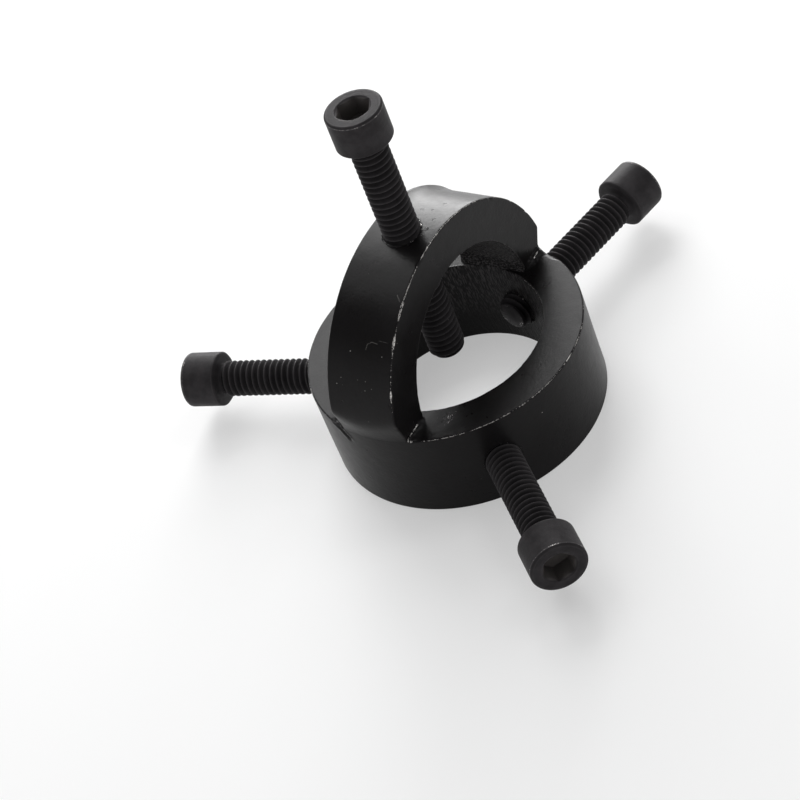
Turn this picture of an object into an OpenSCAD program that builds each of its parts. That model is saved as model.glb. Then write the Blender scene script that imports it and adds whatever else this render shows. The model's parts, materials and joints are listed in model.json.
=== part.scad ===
// Blower motor puller: a grip ring that slips over a blower wheel's hub, three radial
// screws that bite on the hub, a bow welded across the ring, and a forcing screw on the
// ring's axis that pushes on the motor shaft. The ring stands on its open end, the axis
// is Z, and the bow's feet lie on X.

/* [Grip ring] */
// Outer diameter of the ring
ring_od = 59.8; // [58:0.1:62]
// Inner diameter of the ring, the mouth that takes the hub
ring_id = 42.2; // [40:0.1:44]
// Height of the ring along its axis
ring_h = 20.6; // [19:0.1:23]
// Radius of the rounded edges of the ring and the bow
edge_r = 0.35; // [0.2:0.05:0.8]

/* [Bow] */
// Outer diameter of the half ring that forms the bow
bow_od = 62.5; // [61:0.1:64]
// Inner diameter of the bow
bow_id = 43.9; // [43:0.1:46]
// Width of the bow across its flat faces
bow_w = 15.7; // [14:0.1:18]
// Depth of the bow's own centre below the ring's upper face
bow_drop = 1.7; // [0.5:0.1:3]
// Height over which the bow's feet are ground in to meet the ring's wall
foot_blend_h = 6; // [4:0.1:8]

/* [Welds] */
// Reach of each weld bead on the ring's upper face, from the bow's flat face
weld_spread = 3; // [2:0.1:4]
// Height of each weld bead on the bow's flat face
weld_rise = 1.1; // [0.8:0.1:3]
// Distance that a weld ends short of the ring's outer wall
weld_inset = 0.3; // [0.2:0.1:2]

/* [Screws] */
// Crest diameter of the thread, 5/16-18 UNC
thread_d = 7.84; // [7.7:0.01:7.9]
// Pitch of the thread, 18 to the inch
pitch = 1.411; // [1:0.001:2]
// Diameter of the cap head
head_d = 11.9; // [11.6:0.1:12.2]
// Height of the cap head
head_h = 7.94; // [7.7:0.01:8.2]
// Width of the hexagon socket across its flats
socket_af = 6.35; // [6.3:0.01:6.4]
// Depth of the socket's flats below the head's end face
socket_depth = 4.2; // [3.8:0.1:4.6]
// Length of the forcing screw under its head
forcing_len = 57.15; // [50.8:0.01:63.5]
// Length of each grip screw under its head
grip_len = 38.1; // [36:0.1:40]
// Diametral play between a screw's crests and its hole
thread_play = 0.1; // [0.04:0.01:0.16]

/* [Screw positions] */
// Bare thread between the bow's crown and the forcing screw's head
forcing_show = 24.15; // [10:0.05:30]
// Height of the grip screws' axes above the ring's open end
grip_z = 9.95; // [8:0.05:12]
// Bare thread between the ring and the right grip screw's head
right_show = 26.3; // [18:0.1:28]
// Bare thread between the ring and the rear grip screw's head
rear_show = 25; // [18:0.1:28]
// Bare thread between the ring and the front grip screw's head
front_show = 25.5; // [18:0.1:28]
// Direction of the right grip screw about the ring's axis, in degrees
right_angle = -11.3; // [-14:0.1:-4]
// Direction of the rear grip screw, in degrees
rear_angle = 105.7; // [100:0.1:112]
// Direction of the front grip screw, in degrees
front_angle = -131.7; // [-137:0.1:-125]

/* [Hidden] */

$fn = 96;
body_color = "#2d2a2c";
weld_color = "#38353a";
screw_color = "#3c3c40";

ring_r = ring_od / 2;
ring_bore_r = ring_id / 2;
bow_r = bow_od / 2;
bow_inner_r = bow_id / 2;
bow_centre_z = ring_h - bow_drop;
crown_z = bow_centre_z + bow_r;
hole_r = (thread_d + thread_play) / 2;
countersink = 0.2;
// Length of the bodies that cut or bound the pieces, past all of them
reach = 40;

// The feet are ground to a cone that starts on the ring's wall and ends clear of the bow
foot_end_r = bow_r + 0.1;

head_r = head_d / 2;
head_round = 0.5;
head_lower_chamfer = 0.35;
neck_r = 3.5;
neck_h = 1.1;
neck_chamfer = 0.3;
neck_fillet = 0.4;
point_chamfer = 0.9;

// The 60 degree thread form: a quarter of the pitch is root, an eighth is crest
root_flat = pitch / 4;
flank_h = pitch * 5 / 16;
thread_depth = flank_h / tan(30);

socket_corner_r = socket_af / 2 / cos(30);
socket_cone_h = 1.1;

forcing_socket_turn = 29.5;
front_socket_turn = 43.7;
right_socket_turn = 12;
rear_socket_turn = 27;

// A rectangle from (x0, y0) to (x1, y1) with rounded corners
module rounded_section(x0, y0, x1, y1, r) {
    translate([x0 + r, y0]) square([x1 - x0 - 2 * r, y1 - y0]);
    translate([x0, y0 + r]) square([x1 - x0, y1 - y0 - 2 * r]);
    for (x = [x0 + r, x1 - r], y = [y0 + r, y1 - r])
        translate([x, y]) circle(r = r);
}

// A tapped hole along +X through a wall between two radii, countersunk outside
module radial_hole(inner, outer) {
    rotate([0, 90, 0]) {
        translate([0, 0, inner - 4]) cylinder(h = outer - inner + 8, r = hole_r);
        translate([0, 0, outer - countersink])
            cylinder(h = 2 * countersink, r1 = hole_r, r2 = hole_r + 2 * countersink);
    }
}

// The part of the ring's upper edge that lies under the bow's feet and stays square
module foot_seats() {
    intersection() {
        translate([0, 0, ring_h - 2 * edge_r]) difference() {
            cylinder(h = 2 * edge_r, r = ring_r);
            translate([0, 0, -1]) cylinder(h = 2 * edge_r + 2, r = ring_bore_r);
        }
        translate([-reach, -bow_w / 2, 0]) cube([2 * reach, bow_w, reach]);
    }
}

module grip_ring() {
    color(body_color)
    difference() {
        union() {
            rotate_extrude() rounded_section(ring_bore_r, 0, ring_r, ring_h, edge_r);
            foot_seats();
        }
        for (turn = [right_angle, rear_angle, front_angle])
            rotate([0, 0, turn]) translate([0, 0, grip_z])
                radial_hole(ring_bore_r, ring_r);
    }
}

// The space that the bow's feet are ground to: flush with the ring, wider upwards
module foot_envelope() {
    rotate_extrude() polygon([
        [0, ring_h],
        [ring_r, ring_h],
        [foot_end_r, ring_h + foot_blend_h],
        [foot_end_r, ring_h + reach],
        [0, ring_h + reach]
    ]);
}

// The tube that the bow is cut from, its axis along Y
module bow_tube(w) {
    translate([0, 0, bow_centre_z]) rotate([90, 0, 0])
        rotate_extrude() rounded_section(bow_inner_r, -w / 2, bow_r, w / 2, edge_r);
}

module bow() {
    color(body_color)
    difference() {
        intersection() {
            bow_tube(bow_w);
            foot_envelope();
        }
        translate([0, 0, bow_centre_z]) rotate([0, -90, 0])
            radial_hole(bow_inner_r, bow_r);
    }
}

// A low bead in the corner between the bow's face and the ring's upper face. Its arc is
// level where it leaves the bow's face and falls away to the ring.
module weld_bar() {
    arc_r = (weld_spread * weld_spread + weld_rise * weld_rise) / (2 * weld_rise);
    rotate([90, 0, 90]) linear_extrude(reach)
        intersection() {
            square([weld_spread, weld_rise]);
            translate([0, weld_rise - arc_r]) circle(r = arc_r);
        }
}

// The weld at the foot on side_x and the bow's face on side_y, each 1 or -1
module weld(side_x, side_y) {
    color(weld_color)
    mirror([side_x < 0 ? 1 : 0, 0, 0]) mirror([0, side_y < 0 ? 1 : 0, 0])
    intersection() {
        translate([0, bow_w / 2, ring_h]) weld_bar();
        difference() {
            cylinder(h = reach, r = ring_r - weld_inset);
            translate([0, 0, -1]) cylinder(h = reach + 2, r = ring_bore_r + edge_r);
        }
        bow_tube(bow_w + 4 * weld_spread);
    }
}

// The hexagon socket, its floor a drill point
module socket(turn) {
    rotate([0, 0, turn]) translate([0, 0, head_h - socket_depth])
        cylinder(h = socket_depth + 1, r = socket_corner_r, $fn = 6);
    translate([0, 0, head_h - socket_depth - socket_cone_h])
        cylinder(h = socket_cone_h + 0.01, r1 = 0.2, r2 = socket_af / 2 - 0.05);
}

// The grooves of the thread from its point upwards, as rings at its pitch, without the helix
function thread_grooves(bottom, top) = [
    for (turn = [1 : floor((top - bottom) / pitch)])
        let (root = bottom + (turn - 0.5) * pitch)
        each [
            [thread_d / 2, root - root_flat / 2 - flank_h],
            [thread_d / 2 - thread_depth, root - root_flat / 2],
            [thread_d / 2 - thread_depth, root + root_flat / 2],
            [thread_d / 2, root + root_flat / 2 + flank_h]
        ]
];

// Half the section of a cap screw: the head above y = 0, the shank below it
module screw_section(len) {
    translate([0, head_lower_chamfer])
        square([head_r, head_h - head_lower_chamfer - head_round]);
    square([head_r - head_round, head_h]);
    translate([head_r - head_round, head_h - head_round]) circle(r = head_round);
    polygon(concat(
        [
            [0, -len],
            [thread_d / 2 - point_chamfer, -len]
        ],
        thread_grooves(-len + point_chamfer, -neck_h),
        [
            [thread_d / 2, -neck_h],
            [neck_r, -neck_h + neck_chamfer],
            [neck_r, -neck_fillet],
            [neck_r + neck_fillet, 0],
            [head_r - head_lower_chamfer, 0],
            [head_r, head_lower_chamfer],
            [head_r, 1],
            [0, 1]
        ]
    ));
}

// A socket head cap screw along Z with the underside of its head at z = 0
module cap_screw(len, turn) {
    color(screw_color)
    difference() {
        rotate_extrude() screw_section(len);
        socket(turn);
    }
}

module forcing_screw() {
    translate([0, 0, crown_z + forcing_show]) cap_screw(forcing_len, forcing_socket_turn);
}

// A grip screw through the ring's wall, with its bare thread and its socket's turn
module grip_screw(angle, show, turn) {
    rotate([0, 0, angle]) translate([ring_r + show, 0, grip_z])
        rotate([0, 90, 0]) rotate([0, 0, 180]) cap_screw(grip_len, turn);
}

grip_ring();
bow();
weld(1, -1);  // weld_right_front
weld(1, 1);  // weld_right_rear
weld(-1, -1);  // weld_left_front
weld(-1, 1);  // weld_left_rear
forcing_screw();
grip_screw(right_angle, right_show, right_socket_turn);  // grip_screw_right
grip_screw(rear_angle, rear_show, rear_socket_turn);  // grip_screw_rear
grip_screw(front_angle, front_show, front_socket_turn);  // grip_screw_front
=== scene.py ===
"""Blower motor puller: the dressed model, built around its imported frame.

Every class below stands for one sub-assembly or one finish.  Shapes are worked out with
numpy as whole arrays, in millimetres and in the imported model's own frame: the ring stands
on z = 0, its axis is Z, and the bow's feet lie on X.  Meshes are written in metres.
"""

import json
import logging
import math
from dataclasses import dataclass
from enum import Enum
from functools import reduce
from typing import Callable, Iterable, Union

import bpy
import numpy as np
from mathutils import Matrix, Vector

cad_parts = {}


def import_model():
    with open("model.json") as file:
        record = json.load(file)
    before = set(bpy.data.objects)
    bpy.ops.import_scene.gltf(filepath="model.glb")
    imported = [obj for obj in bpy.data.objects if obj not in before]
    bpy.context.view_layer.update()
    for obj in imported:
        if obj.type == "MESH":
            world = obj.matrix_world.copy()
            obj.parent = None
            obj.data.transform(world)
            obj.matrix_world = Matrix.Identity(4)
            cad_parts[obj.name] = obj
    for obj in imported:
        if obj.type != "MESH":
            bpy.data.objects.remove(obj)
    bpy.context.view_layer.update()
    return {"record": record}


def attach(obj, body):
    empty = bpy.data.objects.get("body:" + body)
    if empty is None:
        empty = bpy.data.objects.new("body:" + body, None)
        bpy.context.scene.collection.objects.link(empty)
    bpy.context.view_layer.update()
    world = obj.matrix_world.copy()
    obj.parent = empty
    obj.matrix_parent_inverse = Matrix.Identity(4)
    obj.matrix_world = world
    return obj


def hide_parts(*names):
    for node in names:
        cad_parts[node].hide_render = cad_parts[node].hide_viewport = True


log = logging.getLogger("puller")

Array = np.ndarray
Piece = bpy.types.Object
Material = bpy.types.Material
Colour = tuple[float, float, float]
Point = tuple[float, float, float]

MM = 0.001
FULL_TURN = 2 * math.pi
BODY_CREASE = math.radians(32)
BEAD_CREASE = math.radians(60)
THREAD_CREASE = math.radians(66)
FRAME_BODY = "frame"
# Wear at each corner; on the weld beads and the thread's crests it also holds a painted highlight
WEAR_AND_HIGHLIGHT = "wear_and_highlight"
# Masks of the painted shade in the thread's roots and of the painted light on the socket's walls
THREAD_ROOT = "thread_root"
SOCKET_WALL = "socket_wall"

# Sizes that the ring, the bow, the welds and the screws share
RING_R = 29.9
RING_BORE_R = 21.1
RING_H = 20.6
BOW_R = 31.25
BOW_INNER_R = 21.95
BOW_HALF_W = 7.85
BOW_CENTRE_Z = 18.9
BOW_CENTRE = np.array([0.0, 0.0, BOW_CENTRE_Z])
EDGE_R = 0.35
# Distance from a rounded edge's middle to each of the two faces that it joins
EDGE_INSET = 0.3 * EDGE_R
HOLE_R = 3.97
COUNTERSINK = 0.2
GRIP_Z = 9.95
FOOT_BLEND_H = 6.0
THREAD_R = 3.92
THREAD_PITCH = 25.4 / 18
FORCING_LENGTH = 57.15
GRIP_LENGTH = 38.1
# Slant of the tool marks in the ring: arc length for each millimetre of height
MARK_SLANT = 0.09
# Height over the crown that a burr may reach under the head of the driven-in screw
SEATED_GAP = 0.12


# Arrays and meshes


def ramp(x: Array, start: float, length: float) -> Array:
    """0 up to start, then straight up to 1 over the length, leftwards if it is negative."""
    return np.clip((x - start) / length, 0, 1)


def eased(t: Array) -> Array:
    """The step 3t^2 - 2t^3, level at 0 and at 1."""
    return t * t * (3 - 2 * t)


def round_turn(count: int) -> Array:
    """Even angles round a full turn in radians, the last one a step short of it."""
    return np.linspace(0, FULL_TURN, count, endpoint=False)


@dataclass(frozen=True)
class Hump:
    """A smooth hump: height * exp(-((x - middle) / half_width)^power).

    Attributes:
        middle: Where it is highest.
        half_width: Distance from the middle at which 1 / e of the height is left.
        power: 2 for a round hump, more for a flat top with steeper sides.
        height: Its height.
    """

    middle: float
    half_width: float
    power: int = 2
    height: float = 1.0

    def at(self, x: Array) -> Array:
        """The hump's height at each x."""
        return self.height * np.exp(-(((x - self.middle) / self.half_width) ** self.power))


def closeness(x: Array, y: Array, places: Iterable[tuple]) -> Array:
    """How close the points of a section are to any of some places.

    The greatest of share * exp(-(d / reach)^2), with d the distance from each place.

    Args:
        x: First coordinates of the points.
        y: Their second coordinates.
        places: First and second coordinate, reach and share of each place.

    Returns:
        The closeness, one number for each point.
    """
    close = np.zeros(x.shape)
    for place_x, place_y, reach, share in places:
        gap = np.hypot(x - place_x, y - place_y)
        close = np.maximum(close, share * np.exp(-((gap / reach) ** 2)))
    return close


@dataclass(frozen=True)
class Grain:
    """Smooth, repeatable noise: random values on a cubic lattice, eased between points.

    Attributes:
        seed: Seed of the lattice's values.
        size: Number of lattice points along each side before the values repeat.
    """

    seed: int
    size: int = 24

    def at(self, points: Array, cell: Union[float, tuple[float, float, float]]) -> Array:
        """Noise at each point.

        Each coordinate is divided by the cell's size; the eight lattice values round it
        are mixed with the weights 3f^2 - 2f^3 of its fractions f.

        Args:
            points: Places in millimetres, coordinates along the last axis.
            cell: Size of a lattice cell in millimetres, one number or one for each axis.

        Returns:
            Values from -1 to 1, one for each point.
        """
        lattice = np.random.default_rng(self.seed).uniform(-1, 1, (self.size,) * 3)
        place = points / np.asarray(cell, float)
        corner = np.floor(place).astype(np.int64)
        part = place - corner
        ease = eased(part)
        total = np.zeros(points.shape[:-1])
        for step in np.ndindex(2, 2, 2):
            weight = np.prod(np.where(step, ease, 1 - ease), axis=-1)
            index = (corner + np.asarray(step)) % self.size
            total += weight * lattice[index[..., 0], index[..., 1], index[..., 2]]
        return total


@dataclass(frozen=True)
class Relief:
    """The unevenness of a hand-finished surface and of the wear along its edges.

    Attributes:
        grain: Its noise.
        waves: Height and cell size of each layer in millimetres.
        sunk: How far its mean lies under the plain form.
        uneven: Share of the noise in the wear.
    """

    grain: Grain
    waves: tuple[tuple[float, float], ...]
    sunk: float
    uneven: float = 0.22

    def at(self, points: Array) -> Array:
        """Height at each point: the sum of height times noise over the layers, less sunk."""
        return sum(height * self.grain.at(points, cell) for height, cell in self.waves) - self.sunk

    def worn_share(
        self, points: Array, peak: Array, base: float = 0.52, gain: float = 0.60, cell: float = 4.0
    ) -> Array:
        """Share of an edge that is worn: base + gain * peak + uneven * noise.

        Args:
            points: Places in millimetres.
            peak: 1 where the edge is worn most and 0 where it is worn least.
            base: The share at the peak 0.
            gain: What a peak of 1 adds.
            cell: Size of the noise's cells.

        Returns:
            The share at each point.
        """
        return base + gain * peak + self.uneven * self.grain.at(points, cell)


@dataclass(frozen=True)
class Skin:
    """A closed surface as arrays.

    Attributes:
        points: Corners in millimetres, shape (n, 3).
        quads: Corner numbers of the four-sided faces, shape (m, 4).
        triangles: Corner numbers of the three-sided faces, shape (k, 3).
    """

    points: Array
    quads: Array
    triangles: Array

    @classmethod
    def from_grid(
        cls, grid: Array, *, rows_close: bool, columns_close: bool, flip: bool = False
    ) -> "Skin":
        """Joins a grid of points to a surface and merges the points that coincide.

        A face's outer side is along (next row - row) x (next column - column), or the
        other way round with flip.  A row whose points coincide becomes a pole.

        Args:
            grid: Points in millimetres, shape (rows, columns, 3).
            rows_close: Whether the last row joins the first.
            columns_close: Whether the last column joins the first.
            flip: Whether the faces are turned over.

        Returns:
            The surface.
        """
        rows, columns = grid.shape[:2]
        number = np.arange(rows * columns).reshape(rows, columns)
        here = number if rows_close else number[:-1]
        below = np.roll(number, -1, axis=0) if rows_close else number[1:]
        if not columns_close:
            corners = [here[:, :-1], below[:, :-1], below[:, 1:], here[:, 1:]]
        else:
            corners = [here, below, np.roll(below, -1, axis=1), np.roll(here, -1, axis=1)]
        quads = np.stack(corners, axis=-1).reshape(-1, 4)
        if flip:
            quads = quads[:, ::-1]
        return cls(grid.reshape(-1, 3), quads, np.zeros((0, 3), np.int64)).merged()

    def merged(self, tolerance: float = 1e-4) -> "Skin":
        """The surface with coinciding points made one and collapsed faces left out."""
        keys = np.round(self.points / tolerance).astype(np.int64)
        _, first, inverse = np.unique(keys, axis=0, return_index=True, return_inverse=True)
        inverse = inverse.reshape(-1)
        quads = inverse[self.quads]
        doubled = quads == np.roll(quads, -1, axis=1)
        count = doubled.sum(axis=1)
        folded = quads[count == 1][~doubled[count == 1]].reshape(-1, 3)
        triangles = np.concatenate([inverse[self.triangles], folded])
        return Skin(self.points[first], quads[count == 0], triangles)

    @staticmethod
    def joined(skins: Iterable["Skin"]) -> "Skin":
        """Several surfaces as one set of arrays, their points left apart."""
        points, quads, triangles, start = [], [], [], 0
        for skin in skins:
            points.append(skin.points)
            quads.append(skin.quads + start)
            triangles.append(skin.triangles + start)
            start += len(skin.points)
        return Skin(np.concatenate(points), np.concatenate(quads), np.concatenate(triangles))

    def moved(self, axes: Array, origin: Array) -> "Skin":
        """The surface with its local axes laid along the rows of axes, from an origin."""
        return Skin(self.points @ axes + origin, self.quads, self.triangles)

    def to_object(self, name: str) -> Piece:
        """Writes the surface into a new mesh object at the origin.

        Args:
            name: Name of the piece.

        Returns:
            The object, linked to the scene.
        """
        mesh = bpy.data.meshes.new(name)
        mesh.vertices.add(len(self.points))
        mesh.vertices.foreach_set("co", (self.points * MM).astype(np.float32).ravel())
        corners = np.concatenate([self.quads.ravel(), self.triangles.ravel()])
        sides = np.repeat([4, 3], [len(self.quads), len(self.triangles)])
        mesh.loops.add(len(corners))
        mesh.loops.foreach_set("vertex_index", corners.astype(np.int32))
        mesh.polygons.add(len(sides))
        starts = np.concatenate([[0], np.cumsum(sides)[:-1]])
        mesh.polygons.foreach_set("loop_start", starts.astype(np.int32))
        mesh.update(calc_edges=True)
        mesh.validate()
        piece = bpy.data.objects.new(name, mesh)
        bpy.context.scene.collection.objects.link(piece)
        return piece


def crowded(count: int, amount: float) -> Array:
    """Fractions strictly between 0 and 1 that crowd towards both ends.

    A mix of even steps t and of (1 - cos(pi t)) / 2.

    Args:
        count: How many fractions.
        amount: Share of the cosine spacing, 0 for even steps.

    Returns:
        The fractions in rising order.
    """
    t = np.arange(1, count + 1) / (count + 1)
    return (1 - amount) * t + amount * (1 - np.cos(math.pi * t)) / 2


@dataclass(frozen=True)
class RoundedSection:
    """A rectangular section with rounded corners, sampled anticlockwise.

    Attributes:
        sides: Number of points, and how far they crowd towards the corners, on the low,
            the right, the high and the left side.
        corner_steps: Number of chords in each rounded corner.
    """

    sides: tuple[tuple[int, float], ...]
    corner_steps: int = 6

    def points(self, low: Array, high: Array, radii: Array) -> tuple[Array, Array]:
        """Samples the section for every row.

        A corner's points are its centre plus the radius times (cos a, sin a); a side's
        points lie on the line between the corners at its ends.

        Args:
            low: Left and low limits, shape (rows, 2).
            high: Right and high limits, shape (rows, 2).
            radii: Radius at the low right, high right, high left and low left corners,
                shape (rows, 4).

        Returns:
            The points and their outward directions, both of shape (rows, columns, 2).
        """
        quarter = np.linspace(0, math.pi / 2, self.corner_steps + 1)
        arcs, ways = [], []
        for number, corner in enumerate(((1, -1), (1, 1), (-1, 1), (-1, -1))):
            angle = quarter + math.radians(90 * (number - 1))
            way = np.stack([np.cos(angle), np.sin(angle)], axis=-1)
            side = np.array(corner)
            radius = radii[:, number : number + 1]
            centre = np.where(side > 0, high, low) - side * radius
            arcs.append(centre[:, None] + radius[..., None] * way)
            ways.append(np.broadcast_to(way, arcs[-1].shape))
        runs, faces = [], []
        normals = ((0.0, -1.0), (1.0, 0.0), (0.0, 1.0), (-1.0, 0.0))
        for number, (normal, side) in enumerate(zip(normals, self.sides)):
            start, end = arcs[number - 1][:, -1], arcs[number][:, 0]
            runs.append(start[:, None] + (end - start)[:, None] * crowded(*side)[:, None])
            faces.append(np.broadcast_to(np.array(normal), runs[-1].shape))
        order = [piece for pair in zip(runs, arcs) for piece in pair]
        facing = [piece for pair in zip(faces, ways) for piece in pair]
        return np.concatenate(order, axis=1), np.concatenate(facing, axis=1)


def points_of(piece: Piece) -> Array:
    """Corners of a piece's mesh in millimetres, shape (n, 3)."""
    flat = np.zeros(len(piece.data.vertices) * 3, np.float32)
    piece.data.vertices.foreach_get("co", flat)
    return flat.reshape(-1, 3).astype(float) / MM


def paint(piece: Piece, name: str, values: Array) -> None:
    """Stores one number for each corner of a piece's mesh as an attribute."""
    layer = piece.data.attributes.new(name, "FLOAT", "POINT")
    layer.data.foreach_set("value", np.clip(values, 0, 1).astype(np.float32))


def dress(
    piece: Piece,
    material: Material,
    wear: Union[Array, float],
    crease: float = BEAD_CREASE,
) -> None:
    """Shades a piece, stores its wear and gives it its finish.

    Args:
        piece: The piece.
        material: Its finish.
        wear: Wear from 0 to 1 for each corner, or one number for all; on the weld beads and the
            thread's crests it also holds a painted highlight.
        crease: Angle from which two faces meet sharp, in radians.
    """
    mesh = piece.data
    mesh.polygons.foreach_set("use_smooth", np.ones(len(mesh.polygons), bool))
    mesh.set_sharp_from_angle(angle=crease)
    mesh.update()
    paint(piece, WEAR_AND_HIGHLIGHT, np.broadcast_to(wear, (len(mesh.vertices),)))
    mesh.materials.append(material)


def cut_away(piece: Piece, tool: Piece) -> None:
    """Takes the tool's volume out of a piece's mesh for good and removes the tool."""
    modifier = piece.modifiers.new("cut", "BOOLEAN")
    modifier.operation = "DIFFERENCE"
    modifier.solver = "EXACT"
    modifier.object = tool
    graph = bpy.context.evaluated_depsgraph_get()
    mesh = bpy.data.meshes.new_from_object(piece.evaluated_get(graph))
    old, name = piece.data, piece.data.name
    piece.modifiers.clear()
    piece.data = mesh
    bpy.data.meshes.remove(old)
    mesh.name = name
    bpy.data.objects.remove(tool)


def hole_tool(axes: Array, origin: Array, inner: float, outer: float) -> Skin:
    """The volume of a round hole with a countersunk outer mouth.

    A profile of radius against distance along the axis, turned round the axis.  It
    starts 4 mm short of the wall, in free space.

    Args:
        axes: Local x, y and z axes as rows; the hole runs along z.
        origin: The place on the hole's axis that distances are counted from.
        inner: Distance along the axis at which the wall begins.
        outer: Distance along the axis at which the wall ends.

    Returns:
        The closed surface.
    """
    start = inner - 4
    profile = np.array([
        [start, 0],
        [start, HOLE_R],
        [outer - COUNTERSINK, HOLE_R],
        [outer + COUNTERSINK, HOLE_R + 2 * COUNTERSINK],
        [outer + COUNTERSINK, 0],
    ])
    turn = round_turn(96)
    grid = np.stack([
        profile[:, 1:] * np.cos(turn),
        profile[:, 1:] * np.sin(turn),
        np.broadcast_to(profile[:, :1], (len(profile), len(turn))),
    ], axis=-1)
    skin = Skin.from_grid(grid, rows_close=False, columns_close=True, flip=True)
    return skin.moved(axes, origin)


def radial_axes(turn: float) -> Array:
    """Axes of a part that lies along a radius of the ring.

    Local z points outwards, local x points up, and y = z cross x.

    Args:
        turn: Direction of the radius about Z in degrees.

    Returns:
        The axes as rows of a 3 x 3 array.
    """
    a = math.radians(turn)
    outward = np.array([math.cos(a), math.sin(a), 0.0])
    up = np.array([0.0, 0.0, 1.0])
    return np.stack([up, np.cross(outward, up), outward])


# Where the ring's upper outer edge was ground beside the right front weld: the radius that
# this adds, by the turn about Z in degrees
GROUND_RIM = Hump(-21.5, 5.5, 4, 0.95)


def upper_rim_r(turn: Array) -> Array:
    """Rounding radius of the ring's upper outer edge at each turn about Z in radians."""
    return EDGE_R + GROUND_RIM.at((np.degrees(turn) + 180) % 360 - 180)


# Shader expressions

Operand = Union["Signal", float]


def operator(operation: str, swapped: bool = False) -> Callable[["Signal", Operand], "Signal"]:
    """Makes a method of a signal that adds one Math node.

    Args:
        operation: The node's operation.
        swapped: Whether the other operand comes first.

    Returns:
        The method.
    """

    def method(self: "Signal", other: Operand) -> "Signal":
        """The operation on the signal and another operand."""
        return self.graph.math(operation, *((other, self) if swapped else (self, other)))

    return method


@dataclass(frozen=True)
class Signal:
    """A socket that takes part in arithmetic; each operation adds its Math node.

    Attributes:
        graph: The node tree that the socket belongs to.
        socket: The output socket that carries the value.
    """

    graph: "Graph"
    socket: bpy.types.NodeSocket

    __add__ = __radd__ = operator("ADD")
    __sub__ = operator("SUBTRACT")
    __rsub__ = operator("SUBTRACT", swapped=True)
    __mul__ = __rmul__ = operator("MULTIPLY")
    __pow__ = operator("POWER")
    at_least = operator("MAXIMUM")
    at_most = operator("MINIMUM")

    def rise(self, start: float, end: float) -> "Signal":
        """0 up to start, 1 from end on, and an eased rise between; start may be above end."""
        node = self.graph.add(
            "ShaderNodeMapRange",
            {"interpolation_type": "SMOOTHSTEP"},
            {"Value": self, "From Min": start, "From Max": end},
        )
        return Signal(self.graph, node.outputs[0])


Input = Union[Signal, float, tuple]


@dataclass(frozen=True)
class Texture:
    """Size and detail of a noise in a finish.

    Attributes:
        per_mm: Features to the millimetre.
        detail: Octaves of finer detail.
        rough: Strength of each octave against the one before.
    """

    per_mm: float
    detail: float
    rough: float = 0.5


@dataclass(frozen=True)
class Speckle:
    """Small round spots at random in a finish.

    Attributes:
        per_mm: Cells to the millimetre; each cell may hold one spot.
        radius: Radius of a spot in cells.
        share: Share of the cells that hold one.
    """

    per_mm: float
    radius: float
    share: float


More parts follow.
